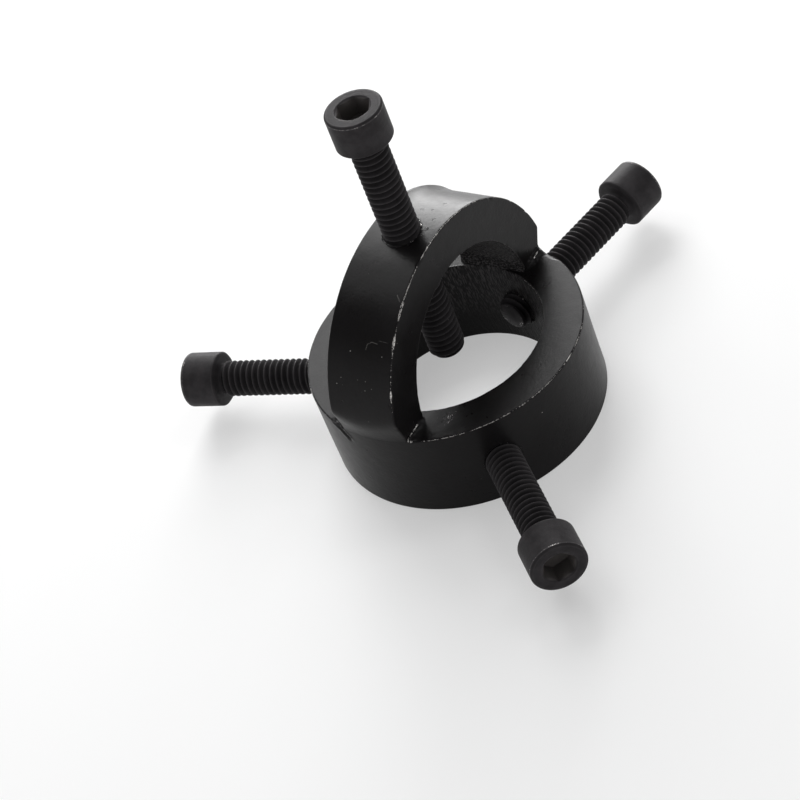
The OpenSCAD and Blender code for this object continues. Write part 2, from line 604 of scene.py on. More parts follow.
class Graph:
    """The node tree of one material or of the world.

    Attributes:
        tree: The tree that the nodes are added to.
    """

    def __init__(self, owner: Union[Material, bpy.types.World]) -> None:
        """Empties the owner's node tree.

        Args:
            owner: The material or world that the nodes make.
        """
        owner.use_nodes = True
        self.tree = owner.node_tree
        self.tree.nodes.clear()

    def add(
        self,
        kind: str,
        settings: Union[dict, None] = None,
        sockets: Union[dict[Union[str, int], Input], None] = None,
    ) -> bpy.types.Node:
        """Adds a node.

        Args:
            kind: The node's type.
            settings: Properties, set first.
            sockets: Values or signals for the node's inputs, by name or number.

        Returns:
            The node.
        """
        node = self.tree.nodes.new(kind)
        for key, value in (settings or {}).items():
            setattr(node, key, value)
        for key, value in (sockets or {}).items():
            if isinstance(value, Signal):
                self.tree.links.new(value.socket, node.inputs[key])
            else:
                node.inputs[key].default_value = value
        return node

    def math(self, operation: str, *operands: Operand) -> Signal:
        """One Math node as a signal."""
        node = self.add("ShaderNodeMath", {"operation": operation}, dict(enumerate(operands)))
        return Signal(self, node.outputs[0])

    def place(self) -> Signal:
        """The point's object coordinates in millimetres, as a vector."""
        source = self.add("ShaderNodeTexCoord").outputs["Object"]
        node = self.add(
            "ShaderNodeVectorMath",
            {"operation": "SCALE"},
            {0: Signal(self, source), "Scale": 1 / MM},
        )
        return Signal(self, node.outputs[0])

    def parts(self, vector: Signal) -> tuple[Signal, Signal, Signal]:
        """The x, y and z of a vector."""
        node = self.add("ShaderNodeSeparateXYZ", None, {0: vector})
        x, y, z = (Signal(self, socket) for socket in node.outputs)
        return x, y, z

    def vector(self, x: Input, y: Input, z: Input) -> Signal:
        """A vector from its three parts."""
        node = self.add("ShaderNodeCombineXYZ", None, {0: x, 1: y, 2: z})
        return Signal(self, node.outputs[0])

    def noise(self, place: Signal, texture: Texture) -> Signal:
        """A texture's noise from 0 to 1, read at a place in millimetres."""
        node = self.add("ShaderNodeTexNoise", None, {
            "Vector": place,
            "Scale": texture.per_mm,
            "Detail": texture.detail,
            "Roughness": texture.rough,
        })
        return Signal(self, node.outputs[0])

    def specks(self, place: Signal, speckle: Speckle) -> Signal:
        """1 in a speckle's spots and 0 between, with soft rims over 0.45 of the radius."""
        node = self.add("ShaderNodeTexVoronoi", None, {"Vector": place, "Scale": speckle.per_mm})
        near = Signal(self, node.outputs["Distance"]).rise(speckle.radius, speckle.radius * 0.55)
        empty = 1 - speckle.share
        chosen = self.parts(Signal(self, node.outputs["Color"]))[0].rise(empty, empty + 0.02)
        return near * chosen

    def blend(self, mask: Operand, off: Input, on: Input) -> Signal:
        """A colour between two by a mask."""
        pair = {
            key: value if isinstance(value, Signal) else (*value, 1.0)
            for key, value in ((6, off), (7, on))
        }
        node = self.add("ShaderNodeMix", {"data_type": "RGBA"}, {0: mask, **pair})
        return Signal(self, node.outputs[2])

    def bump(self, height: Signal, depth_mm: float, under: Union[Signal, None] = None) -> Signal:
        """A normal bent by a height.

        Args:
            height: Height from 0 to 1.
            depth_mm: Depth that 1 stands for, in millimetres.
            under: A normal to start from.

        Returns:
            The bent normal.
        """
        sockets = {"Height": height, "Distance": depth_mm * MM, "Strength": 1.0}
        if under is not None:
            sockets["Normal"] = under
        return Signal(self, self.add("ShaderNodeBump", None, sockets).outputs[0])

    def attribute(self, name: str) -> Signal:
        """A number stored at each corner of the mesh."""
        node = self.add("ShaderNodeAttribute", {"attribute_name": name})
        return Signal(self, node.outputs["Fac"])

    def principled(self, sockets: dict[str, Input]) -> Signal:
        """A Principled shader with the given inputs."""
        return Signal(self, self.add("ShaderNodeBsdfPrincipled", None, sockets).outputs[0])

    def end(self, output: str, surface: Signal) -> None:
        """Joins the last shader to the tree's output node."""
        self.add(output, None, {"Surface": surface})


# Finishes


class Bore(Enum):
    """Which axis the rough-turned inside of a piece runs round, if it has one."""

    RING = "z"
    BOW = "y"
    NONE = ""


@dataclass(frozen=True)
class Scratch:
    """A straight scratch on the bow's outer face.

    Attributes:
        start: Arc length round the bow and y of its start, in millimetres.
        end: Arc length and y of its end.
        width: Half width in millimetres.
    """

    start: tuple[float, float]
    end: tuple[float, float]
    width: float = 0.07

    def mask(self, arc: Signal, across: Signal) -> Signal:
        """1 on the scratch and 0 away from it.

        The distance from the point to the segment: the point's offset from the start
        less its part along the segment, that part held between 0 and 1.  The mask eases
        off while the distance's square goes from 0.4 to 2.2 times the half width's.

        Args:
            arc: Arc length round the bow.
            across: The point's y.

        Returns:
            The mask.
        """
        run = (self.end[0] - self.start[0], self.end[1] - self.start[1])
        length2 = run[0] ** 2 + run[1] ** 2
        off_arc, off_across = arc - self.start[0], across - self.start[1]
        along = (off_arc * run[0] + off_across * run[1]) * (1 / length2)
        held = along.at_least(0.0).at_most(1.0)
        gap = (off_arc - held * run[0]) ** 2.0 + (off_across - held * run[1]) ** 2.0
        return gap.rise(self.width**2 * 2.2, self.width**2 * 0.4)


@dataclass(frozen=True)
class BlackCoat:
    """Thin satin black paint over steel, chipped along the edges.

    Attributes:
        paint, dull_paint, worn_and_lit_paint: Colours of the paint, dull patches and rubbed ones;
            the last also paints the upper part of the ring's bore lighter, a painted light.
        tool_mark_highlight: Colour of a painted highlight on the crests of the tool marks inside
            the ring and the bow.
        steel: Colour of the bare steel in the chips.
        roughness, specular: Roughness and specular level of the sound paint.
        chip_level, rub_level: Wear and noise that start a chip and a rubbed patch.
        broad, mottle: Noise of the dull patches, and of uneven wear and gloss.
        peel, crumbs: Noise of the paint's fine waves, and of the chips' rims.
        hatch, crest_glints: Noise of the tool marks' relief, and of the painted highlight on their
            crests.
        dust, pits: Small pale specks and small pits.
        relief_depth, hatch_depth: Depths of the paint's relief and of the tool marks.
        scratches, dents: The scratches and small dents on the bow's outer face.
        spatter, spatter_place: A cluster of specks there; its arc length and y.
    """

    paint: Colour = (0.0060, 0.0053, 0.0056)
    dull_paint: Colour = (0.0084, 0.0077, 0.0081)
    worn_and_lit_paint: Colour = (0.016, 0.015, 0.016)
    tool_mark_highlight: Colour = (0.085, 0.081, 0.082)
    steel: Colour = (0.60, 0.58, 0.56)
    roughness: float = 0.31
    specular: float = 0.11
    chip_level: float = 0.93
    rub_level: float = 0.30
    broad: Texture = Texture(0.06, 2.0)
    mottle: Texture = Texture(0.55, 4.0, 0.6)
    peel: Texture = Texture(1.7, 3.0, 0.55)
    crumbs: Texture = Texture(3.4, 3.0, 0.7)
    hatch: Texture = Texture(2.6, 3.0, 0.6)
    crest_glints: Texture = Texture(3.9, 1.0)
    dust: tuple[Speckle, Speckle] = (Speckle(0.30, 0.045, 0.26), Speckle(0.13, 0.03, 0.5))
    pits: Speckle = Speckle(0.21, 0.055, 0.3)
    relief_depth: float = 0.10
    hatch_depth: float = 0.16
    scratches: tuple[Scratch, ...] = (
        Scratch((75.2, -1.4), (74.1, -1.6)),
        Scratch((74.1, -1.6), (73.5, -2.6)),
        Scratch((73.5, -2.6), (73.7, -3.95)),
        Scratch((73.0, -4.2), (73.1, -6.4), 0.035),
        Scratch((63.4, -5.9), (64.6, -6.9), 0.09),
        Scratch((52.4, -1.9), (51.5, 3.2), 0.06),
    )
    spatter: Speckle = Speckle(1.2, 0.17, 0.6)
    spatter_place: tuple[float, float] = (83.2, 1.6)
    dents: tuple[Scratch, ...] = (
        Scratch((28.2, 4.6), (28.5, 4.3), 0.16),
        Scratch((37.3, -3.2), (37.5, -2.9), 0.18),
        Scratch((40.7, -2.3), (40.9, -2.3), 0.15),
        Scratch((41.2, 0.3), (41.1, -0.2), 0.13),
        Scratch((43.9, -4.7), (44.2, -4.6), 0.17),
        Scratch((33.6, -6.1), (33.7, -5.8), 0.15),
    )

    def material(self, name: str, bore: Bore = Bore.NONE) -> Material:
        """Builds the finish under a name.

        Args:
            name: Name of the material.
            bore: Where the piece has a rough-turned inside.

        Returns:
            The material.
        """
        material = bpy.data.materials.new(name)
        g = Graph(material)
        place = g.place()
        x, y, z = g.parts(place)
        textures = (self.broad, self.mottle, self.peel, self.crumbs)
        broad, mottle, peel, crumbs = (g.noise(place, texture) for texture in textures)
        edge = g.attribute(WEAR_AND_HIGHLIGHT)

        # On the weld beads the wear attribute holds a painted highlight, shown here as bare steel
        broken = edge + (mottle - 0.5) * 0.8 + (crumbs - 0.5) * 1.5
        chips = (broken - self.chip_level).rise(0.0, 0.07)
        rubbed = (edge * (mottle + 0.5) - self.rub_level).rise(0.0, 0.6)
        dust = g.specks(place, self.dust[0]) + g.specks(place, self.dust[1])
        pits = g.specks(place, self.pits)
        shade = g.blend(broad.rise(0.35, 0.65), self.paint, self.dull_paint)
        shade = g.blend(rubbed * 0.8, shade, self.worn_and_lit_paint)
        height = mottle * 0.36 + peel * 0.22 - chips * 0.8 - pits * 0.8
        roughness = (broad - 0.5) * 0.12 + (mottle - 0.5) * 0.16 + self.roughness
        marks: Operand = 0.0

        if bore is Bore.RING:
            radius = (x**2.0 + y**2.0) ** 0.5
            inside = radius.rise(RING_BORE_R + 0.5, RING_BORE_R + 0.2)
            around, along = g.math("ARCTAN2", y, x) * RING_BORE_R, z
            # Painted light: the bore's upper part, where light falls, made lighter than its lower
            # part
            turned = inside * z.rise(4.0, 12.0)
            slanted = g.vector(around - along * MARK_SLANT, along * 0.18, radius)
            shade = g.blend(turned * 0.6, shade, self.worn_and_lit_paint)
        elif bore is Bore.BOW:
            up = z - BOW_CENTRE_Z
            turn = g.math("ARCTAN2", up, x)
            radius = (x**2.0 + up**2.0) ** 0.5
            turned = inside = radius.rise(BOW_INNER_R + 0.5, BOW_INNER_R + 0.2)
            slanted = g.vector(turn * BOW_INNER_R, y * 0.50, radius)
            outside = radius.rise(BOW_INNER_R + 3, BOW_INNER_R + 6)
            arc = turn * BOW_R
            drawn, dented = (
                reduce(Signal.at_least, [mark.mask(arc, y) for mark in marked])
                for marked in (self.scratches, self.dents)
            )
            height = height - dented * outside * 1.2
            off = (arc - self.spatter_place[0]) ** 2.0
            off = off + ((y - self.spatter_place[1]) * 0.45) ** 2.0
            spatter = g.specks(place, self.spatter) * off.rise(8.0, 1.0)
            drawn = drawn * crumbs.rise(0.38, 0.54) * 0.14
            marks = (drawn + spatter * 0.45) * outside
        if bore is not Bore.NONE:
            hatch = g.noise(slanted, self.hatch)
            # Painted highlight on the tool marks' crests; in the ring only over the bore's upper
            # part
            crest_glints = (g.noise(slanted, self.crest_glints) + crumbs * 0.12).rise(0.53, 0.68)
            shade = g.blend(crest_glints * turned * 0.8, shade, self.tool_mark_highlight)
            roughness = roughness + inside * 0.10

        bright = (chips + dust * 0.55 + marks).at_most(1.0)
        normal = g.bump(height, self.relief_depth)
        if bore is not Bore.NONE:
            normal = g.bump(hatch * inside, self.hatch_depth, normal)
        g.end("ShaderNodeOutputMaterial", g.principled({
            "Base Color": g.blend(bright, shade, self.steel),
            "Metallic": bright * 0.8,
            "Roughness": roughness,
            "Specular IOR Level": self.specular,
            "Normal": normal,
        }))
        return material


@dataclass(frozen=True)
class BlackOxide:
    """Blackened screw steel: matt and slightly grey, brighter where it rubs and along the thread's
    crests, where the brightness is partly a painted highlight.

    Attributes:
        oxide, pale_oxide: Colours of the blackened surface and of its paler patches.
        rubbed_oxide_and_sheen: Colour of the rims where they are rubbed, and of the thread's
            crests, where it is partly a painted highlight.
        root_shade: Colour of the painted shade in the thread's roots.
        socket_light: Colour of the painted light on the walls of the socket, which lie in shade.
        steel: Colour of the bare steel on worn edges.
        roughness, specular: Roughness and specular level of the blackened surface.
        wear_level, rub_level: Wear and noise that bare the steel and start a rubbed patch.
        patches, crumbs: Noise of the paler patches, and of the bare edges' rims.
        grain, grain_depth: Noise of the fine relief and its depth.
        specks: Small bright specks.
    """

    oxide: Colour = (0.0262, 0.0243, 0.0257)
    pale_oxide: Colour = (0.0400, 0.0371, 0.0393)
    rubbed_oxide_and_sheen: Colour = (0.056, 0.053, 0.055)
    root_shade: Colour = (0.0070, 0.0065, 0.0068)
    socket_light: Colour = (0.090, 0.083, 0.080)
    steel: Colour = (0.50, 0.48, 0.47)
    roughness: float = 0.47
    specular: float = 0.05
    wear_level: float = 1.02
    rub_level: float = 0.22
    patches: Texture = Texture(0.25, 3.0, 0.6)
    grain: Texture = Texture(1.9, 4.0, 0.65)
    crumbs: Texture = Texture(2.6, 3.0, 0.7)
    specks: Speckle = Speckle(0.5, 0.05, 0.2)
    grain_depth: float = 0.04

    def material(self, name: str) -> Material:
        """Builds the finish.

        Args:
            name: Name of the material.

        Returns:
            The material.
        """
        material = bpy.data.materials.new(name)
        g = Graph(material)
        place = g.place()
        textures = (self.patches, self.grain, self.crumbs)
        patches, grain, crumbs = (g.noise(place, texture) for texture in textures)
        edge = g.attribute(WEAR_AND_HIGHLIGHT)
        root = g.attribute(THREAD_ROOT)

        bared = edge + (patches - 0.5) * 0.9 + (crumbs - 0.5) * 1.7
        bright = (bared - self.wear_level).rise(0.0, 0.12)
        # On the thread's crests the rubbed colour is partly a painted highlight
        rubbed = (edge * (grain + 0.55) - self.rub_level).rise(0.0, 0.6)
        specks = g.specks(place, self.specks)
        shade = g.blend(patches.rise(0.35, 0.7), self.oxide, self.pale_oxide)
        shade = g.blend(rubbed * 0.8, shade, self.rubbed_oxide_and_sheen)
        # Painted shade: the thread's roots darkened by how deep they lie
        shade = g.blend(root * 0.6, shade, self.root_shade)
        # Painted light: the socket's walls, in the head's shade, made paler
        shade = g.blend(g.attribute(SOCKET_WALL), shade, self.socket_light)
        colour = g.blend((bright * 0.9 + specks * 0.3).at_most(1.0), shade, self.steel)
        roughness = (grain - 0.5) * 0.2 + (patches - 0.5) * 0.1 + self.roughness
        g.end("ShaderNodeOutputMaterial", g.principled({
            "Base Color": colour,
            "Metallic": (bright * 0.8 + rubbed * 0.25).at_most(1.0),
            "Roughness": roughness - rubbed * 0.06 + root * 0.3,
            "Specular IOR Level": self.specular,
            "Normal": g.bump(grain, self.grain_depth),
        }))
        return material


# Sub-assemblies


@dataclass
class GripRing:
    """The short thick tube that slips over the hub, with three tapped holes.

    Attributes:
        hole_turns: Directions of the tapped holes in degrees.
        turns: Number of steps round the ring.
        relief: Unevenness of its surface.
        nicks: Noise of the knocks along its edges and of the tool marks.
        seat_r: Radius of the upper edges under the bow's feet.
        front_wear, left_wear: More wear of the outer edge, by the turn in degrees.
        foot_wear: More wear of the inner edge beside the right and the left foot.
        scuff_place, scuff_wear: x and y of a scuffed patch, and its wear by distance.
        rim_wear: Wear of the tapped holes' rims, by the distance from the hole's axis.
        gouge_line: Line of the undercut beside the left foot's rear corner.
        gouge_depth, gouge_lip: Its depth and its lip's height, by distance from the line.
        section: Section of the wall.
    """

    hole_turns: tuple[float, ...]
    turns: int = 480
    relief: Relief = Relief(Grain(11), ((0.035, 8.0), (0.010, 2.3)), 0.03)
    nicks: Grain = Grain(23)
    seat_r: float = 0.03
    front_wear: Hump = Hump(-112, 50, 6)
    left_wear: Hump = Hump(125, 40, 6, 0.80)
    foot_wear: tuple[Hump, Hump] = (Hump(-37, 16, 4), Hump(-140, 26, 4))
    scuff_place: tuple[float, float] = (-20.5, -12.5)
    scuff_wear: Hump = Hump(0, 4.0, 2, 0.80)
    rim_wear: Hump = Hump(HOLE_R + 0.1, 0.22)
    gouge_line: tuple[Point, ...] = (
        (-27.0, 11.9, 20.4), (-28.3, 9.4, 20.0), (-28.9, 7.4, 18.2), (-29.0, 6.9, 17.2)
    )
    gouge_depth: Hump = Hump(0, 0.42, 2, 0.42)
    gouge_lip: Hump = Hump(0.85, 0.28, 2, 0.16)
    section: RoundedSection = RoundedSection(((14, 0.5), (54, 0.6), (28, 0.5), (40, 0.3)))

    def under_foot(self, turn: Array) -> Array:
        """1 under the bow's feet and 0 elsewhere, eased over half a millimetre."""
        across = np.abs(RING_R * np.sin(turn))
        return eased(ramp(across, BOW_HALF_W + 0.25, -0.5))

    def surface(self) -> Array:
        """The ring's surface as a grid.

        Row i is the section at the turn 2 pi i / rows: its first coordinate is the
        radius and its second the height.  Each point then moves along its outward
        direction by the relief, and inwards by the nicks near the rounded edges.

        Returns:
            Points in millimetres, shape (turns, columns, 3).
        """
        turn = round_turn(self.turns)
        covered = self.under_foot(turn)
        outer_r = upper_rim_r(turn) * (1 - covered) + self.seat_r * covered
        inner_r = EDGE_R * (1 - covered) + self.seat_r * covered
        same = np.full_like(turn, EDGE_R)
        radii = np.stack([same, outer_r, inner_r, same], axis=-1)
        low = np.tile([RING_BORE_R, 0.0], (self.turns, 1))
        high = np.tile([RING_R, RING_H], (self.turns, 1))
        flat, way = self.section.points(low, high, radii)
        radius, height = flat[..., 0], flat[..., 1]
        spin = np.stack([np.cos(turn), np.sin(turn)], axis=-1)[:, None]
        grid = np.concatenate([radius[..., None] * spin, height[..., None]], axis=-1)
        out = np.concatenate([way[..., :1] * spin, way[..., 1:]], axis=-1)
        shift = self.relief.at(grid)
        inner = ramp(radius, RING_BORE_R + 0.4, -0.3)
        arc = np.broadcast_to(turn[:, None] * RING_BORE_R, radius.shape)
        streaks = np.stack([arc - MARK_SLANT * height, height, radius], axis=-1)
        rough = inner * np.clip((height - 3) / 8, 0.2, 1)
        shift -= rough * 0.06 * (1 + self.nicks.at(streaks, (0.75, 2.6, 50.0)))
        knock = 0.14 * ramp(self.nicks.at(grid, 1.1), 0.40, 1)
        shift -= self.edge_closeness(grid, 0.7) * knock
        shift *= ramp(height, 0, 1.5)
        grid = grid + shift[..., None] * out
        return grid - self.gouge(grid)[..., None] * out

    def gouge(self, grid: Array) -> Array:
        """Depth of the undercut beside the left foot's rear corner.

        A groove along the line from the ring's upper edge round the foot's corner and
        down the wall, and a raised lip beside it.  Both run out towards the line's ends
        as (4s(1 - s))^0.5, with s the share of the line's length.

        Args:
            grid: Points in millimetres.

        Returns:
            Depth in millimetres, negative for the lip.
        """
        line = np.array(self.gouge_line)
        nearest = np.full(grid.shape[:-1], 99.0)
        share = np.zeros(grid.shape[:-1])
        for number, (start, end) in enumerate(zip(line[:-1], line[1:])):
            run = end - start
            t = np.clip(((grid - start) @ run) / (run @ run), 0, 1)
            gap = np.linalg.norm(grid - start - t[..., None] * run, axis=-1)
            closer = gap < nearest
            nearest = np.where(closer, gap, nearest)
            share = np.where(closer, (number + t) / (len(line) - 1), share)
        taper = np.sqrt(np.clip(4 * share * (1 - share), 0, 1))
        return taper * (self.gouge_depth.at(nearest) - self.gouge_lip.at(nearest))

    def edge_closeness(self, points: Array, reach: float) -> Array:
        """1 on the ring's upper and lower edges, falling as exp(-(d / reach)^2)."""
        x, y, z = points[..., 0], points[..., 1], points[..., 2]
        open_edge = 1 - self.under_foot(np.arctan2(y, x))
        outer, inner, upper = RING_R - EDGE_INSET, RING_BORE_R + EDGE_INSET, RING_H - EDGE_INSET
        return closeness(np.hypot(x, y), z, (
            (outer, upper, reach, open_edge),
            (inner, upper, reach, 0.8 * open_edge),
            (outer, EDGE_INSET, reach, 0.8),
        ))

    def wear(self, points: Array) -> Array:
        """How far the paint is worn at each point, from 0 to 1.

        The closeness to the edges times a share that varies slowly round the ring.  It
        is highest along the outer edge in front and on the left, and along the inner
        edge beside both feet; a scuffed patch beside the left weld, the rims of the
        tapped holes and the gouge's lip are added.

        Args:
            points: Corners of the mesh in millimetres.

        Returns:
            The wear.
        """
        x, y, z = points.T
        turn, radius = np.degrees(np.arctan2(y, x)), np.hypot(x, y)
        outer_peak = np.maximum(self.front_wear.at(turn), self.left_wear.at(turn))
        inner_peak = self.foot_wear[0].at(turn) + self.foot_wear[1].at(turn)
        share = np.where(
            radius < (RING_R + RING_BORE_R) / 2,
            self.relief.worn_share(points, inner_peak, 0.60, 0.72, 2.0),
            self.relief.worn_share(points, outer_peak),
        )
        worn = self.edge_closeness(points, 0.20) * share
        scuffed = self.scuff_wear.at(np.hypot(x - self.scuff_place[0], y - self.scuff_place[1]))
        worn = np.maximum(worn, ramp(z, RING_H - 0.4, 0.3) * scuffed)
        skin_gap = np.minimum(np.abs(radius - RING_R), np.abs(radius - RING_BORE_R))
        at_mouth = (skin_gap < 0.8) * np.where(radius < RING_BORE_R + 1, 0.95, 0.70)
        for hole in self.hole_turns:
            up, across, outward = (points @ radial_axes(hole).T).T
            rim = self.rim_wear.at(np.hypot(up - GRIP_Z, across))
            worn = np.maximum(worn, rim * at_mouth * (outward > 0))
        gouge = self.gouge(points)
        scraped = np.maximum(0.85 * ramp(gouge, 0, -0.10), 0.55 * ramp(gouge, 0, 0.35))
        return np.maximum(worn, scraped)

    def build(self, coat: BlackCoat) -> Piece:
        """Makes the ring's piece.

        Args:
            coat: Finish of the body.

        Returns:
            The piece.
        """
        skin = Skin.from_grid(self.surface(), rows_close=True, columns_close=True)
        piece = skin.to_object("ring_body")
        origin = np.array([0.0, 0.0, GRIP_Z])
        tools = [
            hole_tool(radial_axes(hole), origin, RING_BORE_R, RING_R) for hole in self.hole_turns
        ]
        cut_away(piece, Skin.joined(tools).to_object("ring_holes"))
        finish = coat.material("ring_coat", Bore.RING)
        dress(piece, finish, self.wear(points_of(piece)), BODY_CREASE)
        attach(piece, FRAME_BODY)
        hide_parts("grip_ring")
        return piece


@dataclass
class Bow:
    """The half ring that stands on the grip ring and carries the forcing screw.

    Attributes:
        steps: Number of steps from foot to foot.
        relief: Unevenness of its surface.
        nicks: Noise of the knocks along its edges and of the tool marks.
        front_wear: More wear of the front outer edge, by the angle round the bow.
        knocked: The worst chips along that edge.
        rim_wear: Wear of the crown's hole, by the distance from its axis.
        blend_power: Power of the left foot's ground shape.
        facet_start, facet_lean: Height over the ring at which the right foot's facet
            begins, and how far it leans out for each millimetre of height.
        soft_left, soft_right: Softness of the ground edges in millimetres.
        flare, flare_h: How far the inner face comes in at the right foot, and from what
            height over the ring.
        crown_lip, crown_lip_w: The lip's height by the angle, and its width.
        section: Section of the bow.
    """

    steps: int = 330
    relief: Relief = Relief(Grain(37), ((0.045, 9.0), (0.012, 2.6)), 0.04)
    nicks: Grain = Grain(41)
    front_wear: Hump = Hump(104, 58, 6)
    knocked: tuple[Hump, ...] = (Hump(134.0, 2.6), Hump(121.0, 3.2), Hump(153.5, 1.2))
    rim_wear: Hump = Hump(HOLE_R + 0.1, 0.25, 2, 0.75)
    blend_power: float = 1.4
    facet_start: float = 1.2
    facet_lean: float = 0.5
    soft_left: float = 0.42
    soft_right: float = 0.12
    flare: float = 0.8
    flare_h: float = 3.0
    crown_lip: Hump = Hump(57, 24, 4, 0.75)
    crown_lip_w: float = 4.2
    section: RoundedSection = RoundedSection(((28, 0.5), (48, 0.5), (28, 0.5), (40, 0.3)))

    def ground_radius(self, height: Array, right: Array) -> Array:
        """Radius from the ring's axis of the surface that the feet are ground to.

        At the left foot it leaves the ring's wall upright and is 0.1 mm wider than the
        bow at the end of the blend: radius = wall + (bow + 0.1 - wall) * t^power, with t
        the height above the ring over the blend's height.  The right foot is cut
        straighter: upright up to the facet, then leaning out with the height.

        Args:
            height: Heights in millimetres.
            right: True at the right foot.

        Returns:
            The radius at each height.
        """
        above = np.clip(height - RING_H, 0, None)
        left_r = RING_R + (BOW_R + 0.1 - RING_R) * (above / FOOT_BLEND_H) ** self.blend_power
        facet = self.facet_lean * np.clip(above - self.facet_start, 0, None)
        return np.where(right, RING_R - 0.02 + facet, left_r)

    def outer_radius(self, angle: Array, across: Array) -> Array:
        """Radius of the bow's outer face from its own centre.

        The distance g along the ray at which hypot(x, y) equals the ground radius is
        found by halving the interval.  The face is the softened lesser of g and the
        bow's radius r, with k the softness: -k ln(exp(-g / k) + exp(-r / k)).

        Args:
            angle: Angle round the bow's centre in radians, 0 at the right foot.
            across: The point's y.

        Returns:
            The radius at each point.
        """
        low = np.full(np.broadcast(angle, across).shape, BOW_INNER_R)
        high = np.full(low.shape, BOW_R + 4)
        right = np.cos(angle) > 0
        for _ in range(26):
            middle = (low + high) / 2
            flat = np.hypot(middle * np.cos(angle), across)
            height = BOW_CENTRE_Z + middle * np.sin(angle)
            beyond = flat > self.ground_radius(height, right)
            high = np.where(beyond, middle, high)
            low = np.where(beyond, low, middle)
        ground = (low + high) / 2 - BOW_R
        soft = np.where(right, self.soft_right, self.soft_left)
        return BOW_R - soft * np.logaddexp(-ground / soft, 0)

    def inner_radius(self, angle: Array) -> Array:
        """Radius of the bow's inner face, which comes in to the bore at the right foot.

        The flare is multiplied by the square of the share of its height that is left.

        Args:
            angle: Angle round the bow's centre in radians.

        Returns:
            The radius at each point.
        """
        above = BOW_CENTRE_Z + BOW_INNER_R * np.sin(angle) - RING_H
        left = np.clip(1 - above / self.flare_h, 0, 1.2) * (np.cos(angle) > 0)
        return BOW_INNER_R - self.flare * left**2

    def lip(self, angle: Array, across: Array) -> Array:
        """Height of the lip that cutting rolled up along the rear edge of the crown.

        Its height at the angle times the square of the fraction of its width that is
        reached towards the rear edge.

        Args:
            angle: Angle round the bow's centre in radians.
            across: The point's y.

        Returns:
            The height in millimetres.
        """
        near = ramp(across, BOW_HALF_W - self.crown_lip_w, self.crown_lip_w)
        return near**2 * self.crown_lip.at(np.degrees(angle))

    def surface(self) -> Array:
        """The bow's surface as a grid, closed by a pole in the middle of each foot.

        Row i is the section at a fraction of the way from foot to foot; its second
        coordinate is the radius from the bow's centre and its first is -y.  The angle
        runs between the two places where that radius meets the ring's upper face, so
        that the feet are flat.

        Returns:
            Points in millimetres, shape (steps + 2, columns, 3).
        """
        part = np.linspace(0, 1, self.steps)
        rows = np.ones(self.steps)
        low = np.stack([-BOW_HALF_W * rows, BOW_INNER_R * rows], axis=-1)
        high = np.stack([BOW_HALF_W * rows, BOW_R * rows], axis=-1)
        radii = np.full((self.steps, 4), EDGE_R)
        flat, way = self.section.points(low, high, radii)
        across, radius = -flat[..., 0], flat[..., 1]
        seat = RING_H - BOW_CENTRE_Z
        for _ in range(3):
            start = np.arcsin(seat / radius)
            angle = start + (math.pi - 2 * start) * part[:, None]
            inner_r, outer_r = self.inner_radius(angle), self.outer_radius(angle, across)
            share = (flat[..., 1] - BOW_INNER_R) / (BOW_R - BOW_INNER_R)
            radius = inner_r + share * (outer_r - inner_r)
        grid = self.placed(angle, radius, across)
        facing = way[..., 1]
        out = np.stack([facing * np.cos(angle), -way[..., 0], facing * np.sin(angle)], axis=-1)
        shift = self.relief.at(grid)
        inner = ramp(radius, inner_r + 0.4, -0.3)
        streaks = np.stack([angle * BOW_INNER_R + 0.3 * across, across, radius], axis=-1)
        shift -= inner * 0.05 * (1 + self.nicks.at(streaks, (0.8, 1.4, 50.0)))
        knock = ramp(self.nicks.at(grid, 1.2), 0.34, 1) * (0.05 + 0.20 * (across < 0))
        shift -= self.edge_closeness(grid, 0.5) * knock
        shift += self.lip(angle, across) * np.clip(facing, 0, 1)
        shift *= ramp(grid[..., 2], RING_H, 2.5)
        grid = grid + shift[..., None] * out
        middle = (BOW_INNER_R + RING_R) / 2
        pole = np.tile([middle, 0.0, RING_H], (1, grid.shape[1], 1))
        return np.concatenate([pole, grid, pole * [-1, 1, 1]])

    @staticmethod
    def placed(angle: Array, radius: Array, across: Array) -> Array:
        """Points from the angle and radius about the bow's centre, and y."""
        return np.stack([
            radius * np.cos(angle),
            np.broadcast_to(across, radius.shape),
            BOW_CENTRE_Z + radius * np.sin(angle),
        ], axis=-1)

    def edge_closeness(self, points: Array, reach: Union[float, Array]) -> Array:
        """1 on the bow's four long edges, falling as exp(-(d / reach)^2)."""
        x, y, up = points[..., 0], points[..., 1], points[..., 2] - BOW_CENTRE_Z
        angle = np.arctan2(up, x)
        side = BOW_HALF_W - EDGE_INSET
        return closeness(np.hypot(x, up), np.abs(y), (
            (self.outer_radius(angle, y) - EDGE_INSET, side, reach, 1.0),
            (self.inner_radius(angle) + EDGE_INSET, side, reach, 0.7),
        ))

    def wear(self, points: Array) -> Array:
        """How far the paint is worn at each point, from 0 to 1.

        The closeness to the edges times a share that is highest along the front outer
        edge between the crown and the left foot, wider and more at the worst chips, and
        the rim of the crown's hole.

        Args:
            points: Corners of the mesh in millimetres.

        Returns:
            The wear.
        """
        x, y, z = points.T
        angle = np.degrees(np.arctan2(z - BOW_CENTRE_Z, x))
        chips = sum(chip.at(angle) for chip in self.knocked) * (y < 0)
        share = self.relief.worn_share(points, self.front_wear.at(angle) * (y < 0)) + 0.12 * chips
        worn = self.edge_closeness(points, 0.20 + 0.35 * chips) * share
        outside = z > BOW_CENTRE_Z + (BOW_INNER_R + BOW_R) / 2
        return np.maximum(worn, self.rim_wear.at(np.hypot(x, y)) * outside)

